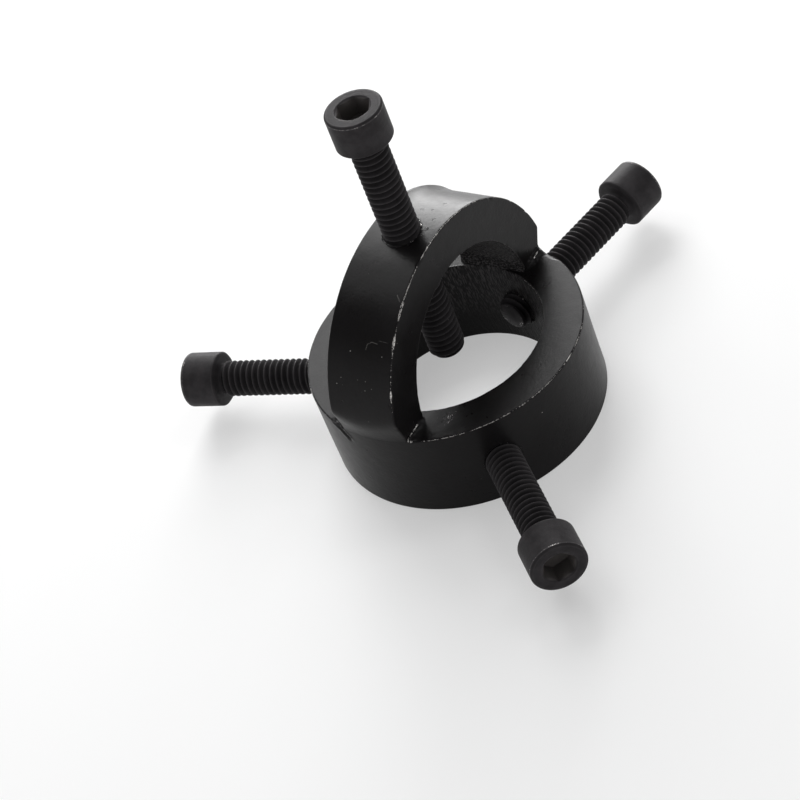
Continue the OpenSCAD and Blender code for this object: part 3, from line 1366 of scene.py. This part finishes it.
    def build(self, coat: BlackCoat) -> Piece:
        """Makes the bow's piece.

        Args:
            coat: Finish of the body.

        Returns:
            The piece.
        """
        skin = Skin.from_grid(self.surface(), rows_close=False, columns_close=True)
        piece = skin.to_object("bow_body")
        tool = hole_tool(np.eye(3), BOW_CENTRE, BOW_INNER_R, BOW_R)
        cut_away(piece, tool.to_object("bow_hole"))
        finish = coat.material("bow_coat", Bore.BOW)
        dress(piece, finish, self.wear(points_of(piece)), BODY_CREASE)
        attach(piece, FRAME_BODY)
        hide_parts("bow")
        return piece


@dataclass
class WeldBead:
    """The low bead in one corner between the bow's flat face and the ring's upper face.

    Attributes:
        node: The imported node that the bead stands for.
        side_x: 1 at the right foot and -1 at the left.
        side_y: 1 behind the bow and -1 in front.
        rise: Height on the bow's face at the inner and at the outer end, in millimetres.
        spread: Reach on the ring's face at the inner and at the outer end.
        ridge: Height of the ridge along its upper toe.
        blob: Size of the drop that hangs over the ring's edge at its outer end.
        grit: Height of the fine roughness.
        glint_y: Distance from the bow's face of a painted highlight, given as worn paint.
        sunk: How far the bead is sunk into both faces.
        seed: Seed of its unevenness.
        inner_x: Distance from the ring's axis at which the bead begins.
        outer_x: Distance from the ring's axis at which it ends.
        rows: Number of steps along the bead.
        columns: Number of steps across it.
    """

    node: str
    side_x: int
    side_y: int
    rise: tuple[float, float] = (1.3, 1.1)
    spread: tuple[float, float] = (2.2, 2.8)
    ridge: float = 0.10
    blob: float = 0.0
    grit: float = 0.015
    glint_y: float = 0.25
    sunk: float = 0.035
    seed: int = 1
    inner_x: float = 21.4
    outer_x: float = 28.75
    rows: int = 120
    columns: int = 44

    def surface(self) -> Array:
        """The bead's surface as a grid, closed by a pole at each end.

        At the fraction u along the corner and v across it, y = spread * v and
        z = rise * (1 - v)^1.8, a hollow slope that runs out level on the ring, with the
        ridge exp(-((y - 0.35) / 0.25)^2) along the top.  Both swell from nothing over the
        first third, as an eased step, and end round, as (1 - u^12)^0.5; slow and fine
        noise make them uneven; the drop moves points out from the ring's axis and up by
        exp(-(d / 0.7)^2) about its middle.  Over the ring's rounded edge the bead follows
        the rounding.  A line of points inside the corner closes it behind.

        Returns:
            Points in millimetres for the side_x = side_y = 1 corner.
        """
        u = np.linspace(0, 1, self.rows)[:, None]
        v = crowded(self.columns, 0.35)[None, :]
        v = (v - v.min()) / (v.max() - v.min())
        grain = Grain(self.seed)
        ends = eased(ramp(u, 0, 0.33)) * (1 - u**12) ** 0.5
        reach = (self.spread[0] + (self.spread[1] - self.spread[0]) * u) * (0.3 + 0.7 * ends)
        x = self.inner_x + (self.outer_x - self.inner_x) * u - 0.5 * v * (u - 0.4)
        y = reach * v
        spot = np.stack(np.broadcast_arrays(x, y, np.zeros_like(v)), axis=-1)
        y = y * (1 + 0.10 * grain.at(spot, 2.9))
        height = self.rise[0] + (self.rise[1] - self.rise[0]) * u
        z = height * (1 - v) ** 1.8 * (1 + 0.12 * grain.at(spot, 2.2))
        z = z + Hump(0.35, 0.25, 2, self.ridge).at(y) * (1 + grain.at(spot, 1.1))
        z = (z + self.grit * (1 - v**4) * grain.at(spot, 0.34)) * ends
        x = np.minimum(x, np.sqrt((RING_R - 0.04) ** 2 - (BOW_HALF_W + y) ** 2))
        radius = np.hypot(x, BOW_HALF_W + y)
        rim_r = upper_rim_r(np.arctan2(self.side_y * (BOW_HALF_W + y), self.side_x * x))
        over = np.clip(radius - RING_R + rim_r, 0, rim_r)
        z = z - rim_r + np.sqrt(rim_r**2 - over**2)
        drop = Hump(0, 0.7, 2, self.blob).at(np.hypot(x - self.outer_x + 0.4, y - 1.0))
        x, y, z = np.broadcast_arrays(x + 0.9 * drop, y + 0.3 * drop, z + 0.5 * drop)
        front = np.stack([x, BOW_HALF_W + y - self.sunk, RING_H + z - self.sunk], axis=-1)
        back = front[:, :1].copy()
        back[..., 1], back[..., 2] = BOW_HALF_W - 0.3, RING_H - 0.3
        grid = np.concatenate([front, back], axis=1)
        poles = [np.broadcast_to(row.mean(axis=0), row.shape) for row in (grid[0], grid[-1])]
        return np.concatenate([poles[0][None], grid, poles[1][None]])

    def wear(self, points: Array) -> Array:
        """Painted highlight given as worn paint: glints along the ridge, over the drop at the
        outer end and on the grit.

        Args:
            points: Corners of the mesh in millimetres.

        Returns:
            The wear.
        """
        x, y, z = np.abs(points[:, 0]), np.abs(points[:, 1]) - BOW_HALF_W, points[:, 2]
        # Painted highlight: glints on the ridge, the drop and the grit, shown as bare steel
        ridge = Hump(self.glint_y, 0.22).at(y) * (0.72 + 5 * self.ridge * (x > 24.5))
        drop = Hump(0, 0.5).at(np.hypot(x - self.outer_x, y - 1.0))
        grit = 2.5 * self.grit * (z > RING_H)
        return np.clip(np.maximum(ridge * 0.8, 2 * self.blob * drop) + grit, 0, 1.1)

    def build(self, material: Material) -> Piece:
        """Makes the bead's piece.

        Args:
            material: Its finish.

        Returns:
            The piece.
        """
        grid = self.surface() * np.array([self.side_x, self.side_y, 1])
        turned = self.side_x * self.side_y < 0
        skin = Skin.from_grid(grid, rows_close=False, columns_close=True, flip=turned)
        piece = skin.to_object(f"{self.node}_bead")
        dress(piece, material, self.wear(points_of(piece)))
        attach(piece, FRAME_BODY)
        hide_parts(self.node)
        return piece


@dataclass
class Burr:
    """The ragged lip that the tap pushed up round a hole's mouth.

    Attributes:
        name: Name of the piece.
        axes: Axes of the hole as rows, z along it and out of the surface.
        origin: A point on the hole's axis.
        surface_r: Radius of the round surface that the hole breaks.
        surface_axis: Local axis, 0 or 1, that the round surface runs round.
        inward: Whether the lip stands on the inside of the wall.
        size: Thickness of the lip in millimetres.
        lumps: Larger bits of the lip: angle and half width in degrees, and thickness.
        top: Greatest reach of the lip along the hole, where it is pressed flat.
        seed: Seed of its raggedness.
        wear: How far its paint is worn.
        steps: Number of steps round the hole.
        sides: Number of steps round the lip's section.
    """

    name: str
    axes: Array
    origin: Array
    surface_r: float
    surface_axis: int
    inward: bool = False
    size: float = 0.12
    lumps: tuple[tuple[float, float, float], ...] = ()
    top: float = math.inf
    seed: int = 5
    wear: float = 0.72
    steps: int = 240
    sides: int = 10

    def surface(self) -> Array:
        """The lip as a closed ring of round sections.

        The path is the circle of the hole's rim laid on the round surface: its height
        along the hole is sqrt(R^2 - s^2), with s the offset across that surface.  The
        section's radius follows the noise, and a lump adds its thickness times
        exp(-((a - a0) / w)^2).

        Returns:
            Points in millimetres, shape (steps, sides, 3).
        """
        turn = round_turn(self.steps)
        spin = np.stack([np.cos(turn), np.sin(turn), np.zeros(self.steps)], axis=-1)
        rough = Grain(self.seed).at(spin * 4.4, 1.6)
        fine = Grain(self.seed + 1).at(spin * 4.4, 0.40)
        thick = self.size * (0.25 + np.clip(0.9 * rough + 0.45 * fine, 0, 1.2))
        for middle, width, height in self.lumps:
            off = (np.degrees(turn) - middle + 180) % 360 - 180
            thick = thick + Hump(0, width, 2, height).at(off) * (0.8 + 0.5 * fine)
        rim = HOLE_R + (0.10 if self.inward else COUNTERSINK) + 0.3 * thick
        path = spin * rim[:, None]
        across = path[:, 1 - self.surface_axis]
        path[:, 2] = np.sqrt(self.surface_r**2 - across**2)
        out = np.array([0.0, 0.0, -1.0 if self.inward else 1.0])
        side = round_turn(self.sides)
        ring = spin[:, None] * np.cos(side)[:, None] * 0.7 + out * np.sin(side)[:, None] * 1.5
        lip = path[:, None] + ring * thick[:, None, None]
        lip[..., 2] = np.minimum(lip[..., 2], self.top)
        return lip

    def build(self, material: Material) -> Piece:
        """Makes the lip's piece.

        Args:
            material: Its finish.

        Returns:
            The piece.
        """
        skin = Skin.from_grid(
            self.surface(), rows_close=True, columns_close=True, flip=not self.inward
        )
        piece = skin.moved(self.axes, self.origin).to_object(self.name)
        dress(piece, material, self.wear)
        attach(piece, FRAME_BODY)
        return piece


@dataclass(frozen=True)
class Sliver:
    """A thin sliver of metal that the tap left standing on the bow's crown.

    Attributes:
        start: x and y of one end in millimetres.
        end: x and y of the other end.
        lift: Height of its middle above the crown.
        thick: Greatest half thickness.
        bend: How far its middle lies to the left of the straight line.
    """

    start: tuple[float, float]
    end: tuple[float, float]
    lift: float = 0.25
    thick: float = 0.13
    bend: float = 0.0

    def skin(self) -> Skin:
        """A tapered tube along the sliver, closed by a pole at each end.

        The middle line rises off the crown's height, bow centre + sqrt(R^2 - x^2), by
        lift * 4t(1 - t), and bends aside by as much times the bend; its half thickness
        is the greatest one times sqrt(4t(1 - t)).  Its top is pressed flat under the
        seated head.

        Returns:
            The tube.
        """
        t = np.linspace(0, 1, 26)[:, None]
        hump = 4 * t * (1 - t)
        start, end = np.array(self.start), np.array(self.end)
        run = (end - start) / np.linalg.norm(end - start)
        left = np.array([-run[1], run[0]])
        flat = start + (end - start) * t + left * hump * self.bend
        crown = BOW_CENTRE_Z + np.sqrt(BOW_R**2 - flat[:, :1] ** 2)
        middle = np.concatenate([flat, crown + self.lift * hump], axis=1)
        side = round_turn(8)
        ring = np.concatenate([np.cos(side)[:, None] * left, np.sin(side)[:, None]], axis=1)
        grid = middle[:, None] + ring * (self.thick * np.sqrt(hump))[:, :, None]
        grid[..., 2] = np.minimum(grid[..., 2], BOW_CENTRE_Z + BOW_R + SEATED_GAP)
        return Skin.from_grid(grid, rows_close=False, columns_close=True)

    @staticmethod
    def build(slivers: Iterable["Sliver"], material: Material) -> Piece:
        """Makes one piece of all the slivers.

        Args:
            slivers: The slivers.
            material: Their finish.

        Returns:
            The piece.
        """
        piece = Skin.joined([sliver.skin() for sliver in slivers]).to_object("crown_slivers")
        dress(piece, material, 0.80)
        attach(piece, FRAME_BODY)
        return piece


@dataclass
class CapScrew:
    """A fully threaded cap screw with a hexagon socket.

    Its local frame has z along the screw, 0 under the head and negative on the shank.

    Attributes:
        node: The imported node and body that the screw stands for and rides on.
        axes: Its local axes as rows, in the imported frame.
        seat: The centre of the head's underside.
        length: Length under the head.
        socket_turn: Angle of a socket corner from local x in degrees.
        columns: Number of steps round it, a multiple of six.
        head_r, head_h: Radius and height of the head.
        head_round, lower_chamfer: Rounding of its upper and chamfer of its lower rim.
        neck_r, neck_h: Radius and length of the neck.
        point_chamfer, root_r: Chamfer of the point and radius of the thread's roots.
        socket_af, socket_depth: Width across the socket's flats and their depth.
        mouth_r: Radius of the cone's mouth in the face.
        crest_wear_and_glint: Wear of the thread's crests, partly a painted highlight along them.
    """

    node: str
    axes: Array
    seat: Array
    length: float
    socket_turn: float
    columns: int = 72
    head_r: float = 5.95
    head_h: float = 7.94
    head_round: float = 0.5
    lower_chamfer: float = 0.35
    neck_r: float = 3.3
    neck_h: float = 0.9
    point_chamfer: float = 0.9
    root_r: float = 3.06
    socket_af: float = 6.35
    socket_depth: float = 4.2
    mouth_r: float = 3.80
    crest_wear_and_glint: float = 0.52

    def thread_radius(self, phase: Array) -> Array:
        """Radius of the thread at a distance along the axis from a crest's middle.

        The crest's flat, then a flank at 30 degrees from square, then the root.

        Args:
            phase: Distance in millimetres, any whole number of pitches added.

        Returns:
            The radius.
        """
        off = np.abs((phase + THREAD_PITCH / 2) % THREAD_PITCH - THREAD_PITCH / 2)
        flank = THREAD_R - (off - THREAD_PITCH / 16) / math.tan(math.radians(30))
        return np.clip(flank, self.root_r, THREAD_R)

    def thread(self, turn: Array) -> Array:
        """The threaded length as a grid whose rows climb along the helix.

        A row's height is its place in the pitch plus turn * pitch / (2 pi), held
        between the point and the neck; rows that run past an end collapse there.  The
        point's chamfer and the fading end of the thread cap the radius.

        Args:
            turn: Angles of the columns in radians.

        Returns:
            Points in the local frame.
        """
        step = np.array([-0.5, -0.40, -0.23, -0.075, -0.035, 0.035, 0.075, 0.23, 0.40])
        bottom, top = -self.length, -self.neck_h
        first = math.floor(bottom / THREAD_PITCH) - 1
        last = math.ceil(top / THREAD_PITCH) + 1
        rows = (np.arange(first, last)[:, None] + step).reshape(-1) * THREAD_PITCH
        climb = turn * THREAD_PITCH / FULL_TURN
        held = np.clip(rows[:, None] + climb, bottom, top)
        radius = self.thread_radius(held - climb)
        point = THREAD_R - self.point_chamfer + (held - bottom)
        fade = self.neck_r + np.clip(top - held, 0, None) * 1.6
        radius = np.minimum(np.minimum(radius, point), fade)
        return self.turned(radius, turn, held)

    def turned(self, radius: Array, turn: Array, height: Array) -> Array:
        """Points at a radius, an angle and a height in the local frame."""
        radius, turn, height = np.broadcast_arrays(radius, turn, height)
        return np.stack([radius * np.cos(turn), radius * np.sin(turn), height], axis=-1)

    def head_profile(self) -> Array:
        """Radius and height of the head's round rows, from the neck to the face's rim."""
        round_angle = np.radians(np.linspace(0, 90, 8))
        rim = np.stack([
            self.head_r - self.head_round + self.head_round * np.cos(round_angle),
            self.head_h - self.head_round + self.head_round * np.sin(round_angle),
        ], axis=-1)
        foot_r = self.head_r - self.lower_chamfer
        start = np.array([
            [self.neck_r, -self.neck_h],
            [self.neck_r, -0.5],
            [self.neck_r + 0.12, -0.15],
            [self.neck_r + 0.5, 0.0],
            [(self.neck_r + foot_r) / 2 + 0.4, 0.0],
            [foot_r, 0.0],
            [self.head_r, self.lower_chamfer],
        ])
        side = self.lower_chamfer + (rim[0, 1] - self.lower_chamfer) * crowded(9, 0.7)
        side = np.stack([np.full(len(side), self.head_r), side], axis=-1)
        return np.concatenate([start, side, rim])

    def socket(self, turn: Array) -> Array:
        """The end face and the hexagon socket, from the face's rim to the drill point.

        The hexagon's radius at an angle is half the width across flats over the cosine
        of the angle from the nearest flat's middle.  A cone of 120 degrees opens its
        mouth, so that at the depth d the radius is the larger of the hexagon's and
        mouth_r - d tan 60.  The face's rows lie between the round rim and the mouth.

        Args:
            turn: Angles of the columns, the first on a corner.

        Returns:
            Points in the local frame.
        """
        sixth = math.pi / 3
        off = (turn - turn[0]) % sixth - sixth / 2
        hexagon = self.socket_af / 2 / np.cos(off)
        mouth = np.maximum(hexagon, self.mouth_r)
        rim = self.head_r - self.head_round
        floor = self.head_h - self.socket_depth
        shares = (0.3, 0.65, 0.95, 1.0)
        rows = [self.turned(rim + (mouth - rim) * t, turn, self.head_h) for t in shares]
        slope = math.tan(math.radians(60))
        for depth in (0.03, 0.12, 0.21, 0.30):
            coned = np.maximum(hexagon, self.mouth_r - depth * slope)
            rows.append(self.turned(coned, turn, self.head_h - depth))
        start = self.head_h - (self.mouth_r - self.socket_af / 2) / slope
        for share in (0.0, 0.25, 0.5, 0.75, 1.0):
            rows.append(self.turned(hexagon, turn, start + (floor - start) * share))
        drilled = self.socket_af / 2 - 0.05
        for radius, drop in ((drilled, 0.0), (drilled / 2, 0.55), (0.2, 1.1), (0.0, 1.1)):
            rows.append(self.turned(radius, turn, floor - drop))
        return np.stack(rows)

    def skin(self) -> Skin:
        """The whole screw in its local frame, from the point's middle to the socket's."""
        first = math.radians(self.socket_turn)
        turn = first + np.linspace(0, FULL_TURN, self.columns + 1)
        middle = self.turned(np.zeros(turn.shape), turn, np.full(turn.shape, -self.length))
        head = self.head_profile()
        rows = self.turned(head[:, :1], turn, head[:, 1:])
        grid = np.concatenate([middle[None], self.thread(turn), rows, self.socket(turn)])
        return Skin.from_grid(grid, rows_close=False, columns_close=False, flip=True)

    def wear(self, points: Array) -> Array:
        """Wear of crests, rims and mouth at points of the local frame, from 0 to 1; on the crests
        it is partly a painted highlight.
        """
        radius = np.hypot(points[:, 0], points[:, 1])
        height = points[:, 2]
        # The crests' wear is partly a painted highlight
        crest = ramp(radius, THREAD_R - 0.16, 0.13) * (height < -self.neck_h)
        return np.maximum(crest * self.crest_wear_and_glint, closeness(radius, height, (
            (self.head_r, self.head_h - self.head_round, 0.14, 1.06),
            (self.head_r - self.head_round, self.head_h, 0.14, 0.50),
            (self.mouth_r, self.head_h, 0.16, 0.45),
            (self.head_r, self.lower_chamfer, 0.15, 0.60),
            (THREAD_R - self.point_chamfer, -self.length, 0.25, 0.90),
        )))

    def root_depth(self, points: Array) -> Array:
        """How deep in the thread each point of the local frame lies, from 0 to 1."""
        deep = ramp(np.hypot(points[:, 0], points[:, 1]), THREAD_R - 0.22, -0.4)
        return deep * (points[:, 2] < -self.neck_h) * (points[:, 2] > 0.2 - self.length)

    def socket_wall(self, points: Array) -> Array:
        """1 on the walls of the socket at points of the local frame, 0 outside it."""
        inside = np.hypot(points[:, 0], points[:, 1]) < self.mouth_r + 0.15
        return ramp(points[:, 2], self.head_h - 0.15, -0.3) * inside * (points[:, 2] > 0.2)

    def build(self, material: Material) -> Piece:
        """Makes the screw's piece.

        Args:
            material: Its finish.

        Returns:
            The piece.
        """
        local = self.skin()
        piece = local.moved(self.axes, self.seat).to_object(f"{self.node}_threaded")
        dress(piece, material, self.wear(local.points), THREAD_CREASE)
        # Depth in the thread, the mask of the painted shade in its roots
        paint(piece, THREAD_ROOT, self.root_depth(local.points))
        # Mask of the painted light on the socket's walls
        paint(piece, SOCKET_WALL, self.socket_wall(local.points))
        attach(piece, self.node)
        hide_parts(self.node)
        return piece


# Studio


@dataclass(frozen=True)
class SoftBox:
    """A square lamp that faces the object.

    Attributes:
        name: Its name.
        direction: Where it stands, seen from the object.
        distance: How far away, in metres.
        size: Side of the square in metres.
        radiance: Brightness of its face, where 1 is white.
    """

    name: str
    direction: Point
    distance: float
    size: float
    radiance: float

    def build(self, target: Vector) -> None:
        """Places the lamp; its power is radiance * pi * area.

        Args:
            target: The point that it faces.
        """
        lamp = bpy.data.lights.new(self.name, "AREA")
        lamp.size = self.size
        lamp.energy = self.radiance * math.pi * self.size**2
        holder = bpy.data.objects.new(self.name, lamp)
        way = Vector(self.direction).normalized()
        holder.location = target + way * self.distance
        holder.rotation_euler = way.to_track_quat("Z", "Y").to_euler()
        bpy.context.scene.collection.objects.link(holder)


@dataclass(frozen=True)
class Studio:
    """The floor, the lamps, the pale surroundings and the camera.

    Attributes:
        camera_place: The camera's place in millimetres.
        camera_right: Direction to the right of the picture.
        camera_up: Direction to the top of the picture.
        focal_px: Focal length in pixels of an 800 pixel picture.
        lamps: The soft boxes.
        horizon: Brightness of the surroundings at eye level, where 1 is white.
        overhead: Brightness of the surroundings above.
        target: The point that the lamps face, in millimetres.
        floor_grey: Colour of the floor as it lights the part.
        floor_half: Half of the floor's side in millimetres.
        whitened: Share of plain white mixed into the floor as it is seen.
        white_from: Distance in millimetres at which the floor starts to turn white.
        white_past: Distance past which it is seen plain white.
    """

    camera_place: Point = (-269.258, -265.265, 345.317)
    camera_right: Point = (0.488300, -0.821590, -0.294198)
    camera_up: Point = (0.706047, 0.173802, 0.686506)
    focal_px: float = 2400.454
    lamps: tuple[SoftBox, ...] = (
        SoftBox("rear_soft_box", (0.53, 0.53, 0.62), 0.75, 0.46, 6.5),
        SoftBox("low_rear_box", (0.82, 0.54, 0.20), 0.80, 0.42, 9.5),
        SoftBox("top_soft_box", (0.0, 0.53, 0.85), 0.80, 0.42, 2.4),
        SoftBox("front_top_box", (0.45, -0.30, 0.84), 0.80, 0.24, 3.2),
    )
    horizon: float = 1.0
    overhead: float = 0.22
    target: Point = (0.0, 0.0, 30.0)
    floor_grey: float = 0.90
    floor_half: float = 3000.0
    whitened: float = 0.4
    white_from: float = 70.0
    white_past: float = 450.0

    def camera(self) -> None:
        """Sets the camera: its axes are the picture's right, up and back."""
        data = bpy.data.cameras.new("camera")
        data.sensor_width = 36.0
        data.lens = self.focal_px * data.sensor_width / 800
        data.clip_start, data.clip_end = 0.02, 20.0
        holder = bpy.data.objects.new("camera", data)
        right = Vector(self.camera_right).normalized()
        up = Vector(self.camera_up)
        up = (up - right * up.dot(right)).normalized()
        turn = Matrix((right, up, right.cross(up))).transposed()
        holder.matrix_world = Matrix.Translation(Vector(self.camera_place) * MM) @ turn.to_4x4()
        bpy.context.scene.collection.objects.link(holder)
        bpy.context.scene.camera = holder

    def surroundings(self) -> None:
        """A pale room, white round the horizon and dimmer overhead.

        The brightness eases from the horizon's to the overhead one while the upward
        part of the direction goes from 0.1 to 0.55.
        """
        world = bpy.data.worlds.new("surroundings")
        bpy.context.scene.world = world
        g = Graph(world)
        direction = Signal(g, g.add("ShaderNodeTexCoord").outputs["Generated"])
        up = g.parts(direction)[2]
        strength = up.rise(0.55, 0.10) * (self.horizon - self.overhead) + self.overhead
        room = g.add("ShaderNodeBackground", None, {"Strength": strength})
        room.inputs["Color"].default_value = (1, 1, 1, 1)
        g.end("ShaderNodeOutputWorld", Signal(g, room.outputs[0]))

    def floor(self) -> None:
        """A plain pale floor on z = 0, whitened as it is seen but not as it lights.

        The share of white is that near the part, and eases to 1 with the distance.
        """
        corners = self.floor_half * np.array([[-1, -1, 0], [1, -1, 0], [1, 1, 0], [-1, 1, 0]])
        skin = Skin(corners, np.array([[0, 1, 2, 3]]), np.zeros((0, 3), np.int64))
        piece = skin.to_object("floor")
        material = bpy.data.materials.new("pale_floor")
        g = Graph(material)
        matt = g.principled({
            "Base Color": (self.floor_grey,) * 3 + (1.0,),
            "Roughness": 0.9,
            "Specular IOR Level": 0.0,
        })
        path = g.add("ShaderNodeLightPath").outputs
        rays = ("Is Camera Ray", "Is Glossy Ray", "Is Transmission Ray")
        camera, glossy, through = (Signal(g, path[ray]) for ray in rays)
        seen = (camera + glossy + through).at_most(1.0)
        x, y, _ = g.parts(g.place())
        far = ((x**2.0 + y**2.0) ** 0.5).rise(self.white_from, self.white_past)
        share = seen * (far * (1 - self.whitened) + self.whitened)
        white = Signal(g, g.add("ShaderNodeEmission").outputs[0])
        mixed = g.add("ShaderNodeMixShader", None, {0: share, 1: matt, 2: white})
        g.end("ShaderNodeOutputMaterial", Signal(g, mixed.outputs[0]))
        piece.data.materials.append(material)

    def build(self) -> None:
        """Sets the camera, the surroundings, the floor and the lamps."""
        self.camera()
        self.surroundings()
        self.floor()
        for lamp in self.lamps:
            lamp.build(Vector(self.target) * MM)
        bpy.context.scene.view_settings.view_transform = "Standard"


# Assembly


def mount_place(record: dict, name: str) -> tuple[Array, Array]:
    """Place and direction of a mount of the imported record.

    Args:
        record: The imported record.
        name: The mount's name.

    Returns:
        Its place in millimetres and its axis.
    """
    mount = next(m for m in record["mounts"] if m["name"] == name)
    return np.array(mount["pos_m"], float) / MM, np.array(mount["axis"], float)


def screws_of(record: dict) -> list[CapScrew]:
    """The four screws, placed by the mounts at their points.

    Args:
        record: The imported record.

    Returns:
        The screws, the forcing screw first.
    """
    tip, _ = mount_place(record, "shaft_push_point")
    seat = tip + [0, 0, FORCING_LENGTH]
    screws = [CapScrew("forcing_screw", np.eye(3), seat, FORCING_LENGTH, 29.5)]
    for side, socket_turn in (("right", 12.0), ("rear", 27.0), ("front", 43.7)):
        tip, inward = mount_place(record, f"grip_point_{side}")
        axes = radial_axes(math.degrees(math.atan2(-inward[1], -inward[0])))
        seat = tip - inward * GRIP_LENGTH
        screws.append(CapScrew(f"grip_screw_{side}", axes, seat, GRIP_LENGTH, socket_turn))
    return screws


def weld_beads() -> tuple[WeldBead, ...]:
    """The four beads, each with its own unevenness."""
    return (
        WeldBead(
            "weld_right_front", 1, -1, (0.6, 1.3), (2.2, 2.6), 0.05, grit=0.05, glint_y=0.7, seed=3
        ),
        WeldBead("weld_right_rear", 1, 1, seed=4, inner_x=22.6),
        WeldBead("weld_left_front", -1, -1, (1.0, 0.75), (1.2, 3.4), 0.16, blob=0.5, seed=6),
        WeldBead("weld_left_rear", -1, 1, seed=8),
    )


def crown_metal() -> tuple[Burr, tuple[Sliver, ...]]:
    """The burr round the crown's hole and the slivers beside it."""
    bits = ((131.0, 12.0, 0.16), (183.0, 26.0, 0.20), (-32.0, 12.0, 0.20))
    top = BOW_R + SEATED_GAP
    burr = Burr("crown_burr", np.eye(3), BOW_CENTRE, BOW_R, 1, lumps=bits, top=top)
    return burr, (
        Sliver((4.6, -1.05), (1.8, -3.6), 0.35, 0.16, 0.30),
        Sliver((1.2, -3.75), (2.2, -5.1), 0.22, 0.12, -0.15),
        Sliver((-1.9, -4.0), (-3.4, -3.2), 0.30, 0.14, 0.10),
    )


def ring_burrs(screws: list[CapScrew], turns: tuple[float, ...]) -> list[Burr]:
    """The burrs outside and inside the ring's wall, round each grip screw.

    Args:
        screws: The grip screws.
        turns: Their directions about Z in degrees.

    Returns:
        The burrs, those of the first screw first.
    """
    burrs, centre = [], np.array([0.0, 0.0, GRIP_Z])
    for screw, turn in zip(screws, turns):
        hole, axes = screw.node.replace("grip_screw", "grip_hole"), radial_axes(turn)
        seed = 9 + int(abs(turn))
        for side, wall, size in (("outer", RING_R, 0.07), ("inner", RING_BORE_R, 0.22)):
            name, inward = f"{hole}_{side}_burr", side == "inner"
            burrs.append(Burr(name, axes, centre, wall, 0, inward, size, seed=seed))
    return burrs


def report(piece: Piece) -> None:
    """Logs one piece and its number of faces."""
    log.info("%s: %d faces", piece.name, len(piece.data.polygons))


def main() -> None:
    """Loads the frame, builds each sub-assembly in order and logs each piece."""
    logging.basicConfig(level=logging.INFO, format="%(name)s: %(message)s")
    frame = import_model()
    record = frame["record"]
    coat, oxide = BlackCoat(), BlackOxide()
    Studio().build()

    screws = screws_of(record)
    turns = tuple(math.degrees(math.atan2(s.axes[2][1], s.axes[2][0])) for s in screws[1:])
    report(GripRing(turns).build(coat))
    report(Bow().build(coat))

    bead_coat = coat.material("bead_coat")
    for bead in weld_beads():
        report(bead.build(bead_coat))
    crown_burr, slivers = crown_metal()
    report(crown_burr.build(bead_coat))
    report(Sliver.build(slivers, bead_coat))
    for burr in ring_burrs(screws[1:], turns):
        report(burr.build(bead_coat))

    screw_finish = oxide.material("screw_oxide")
    for screw in screws:
        report(screw.build(screw_finish))


if __name__ == "__main__":
    main()
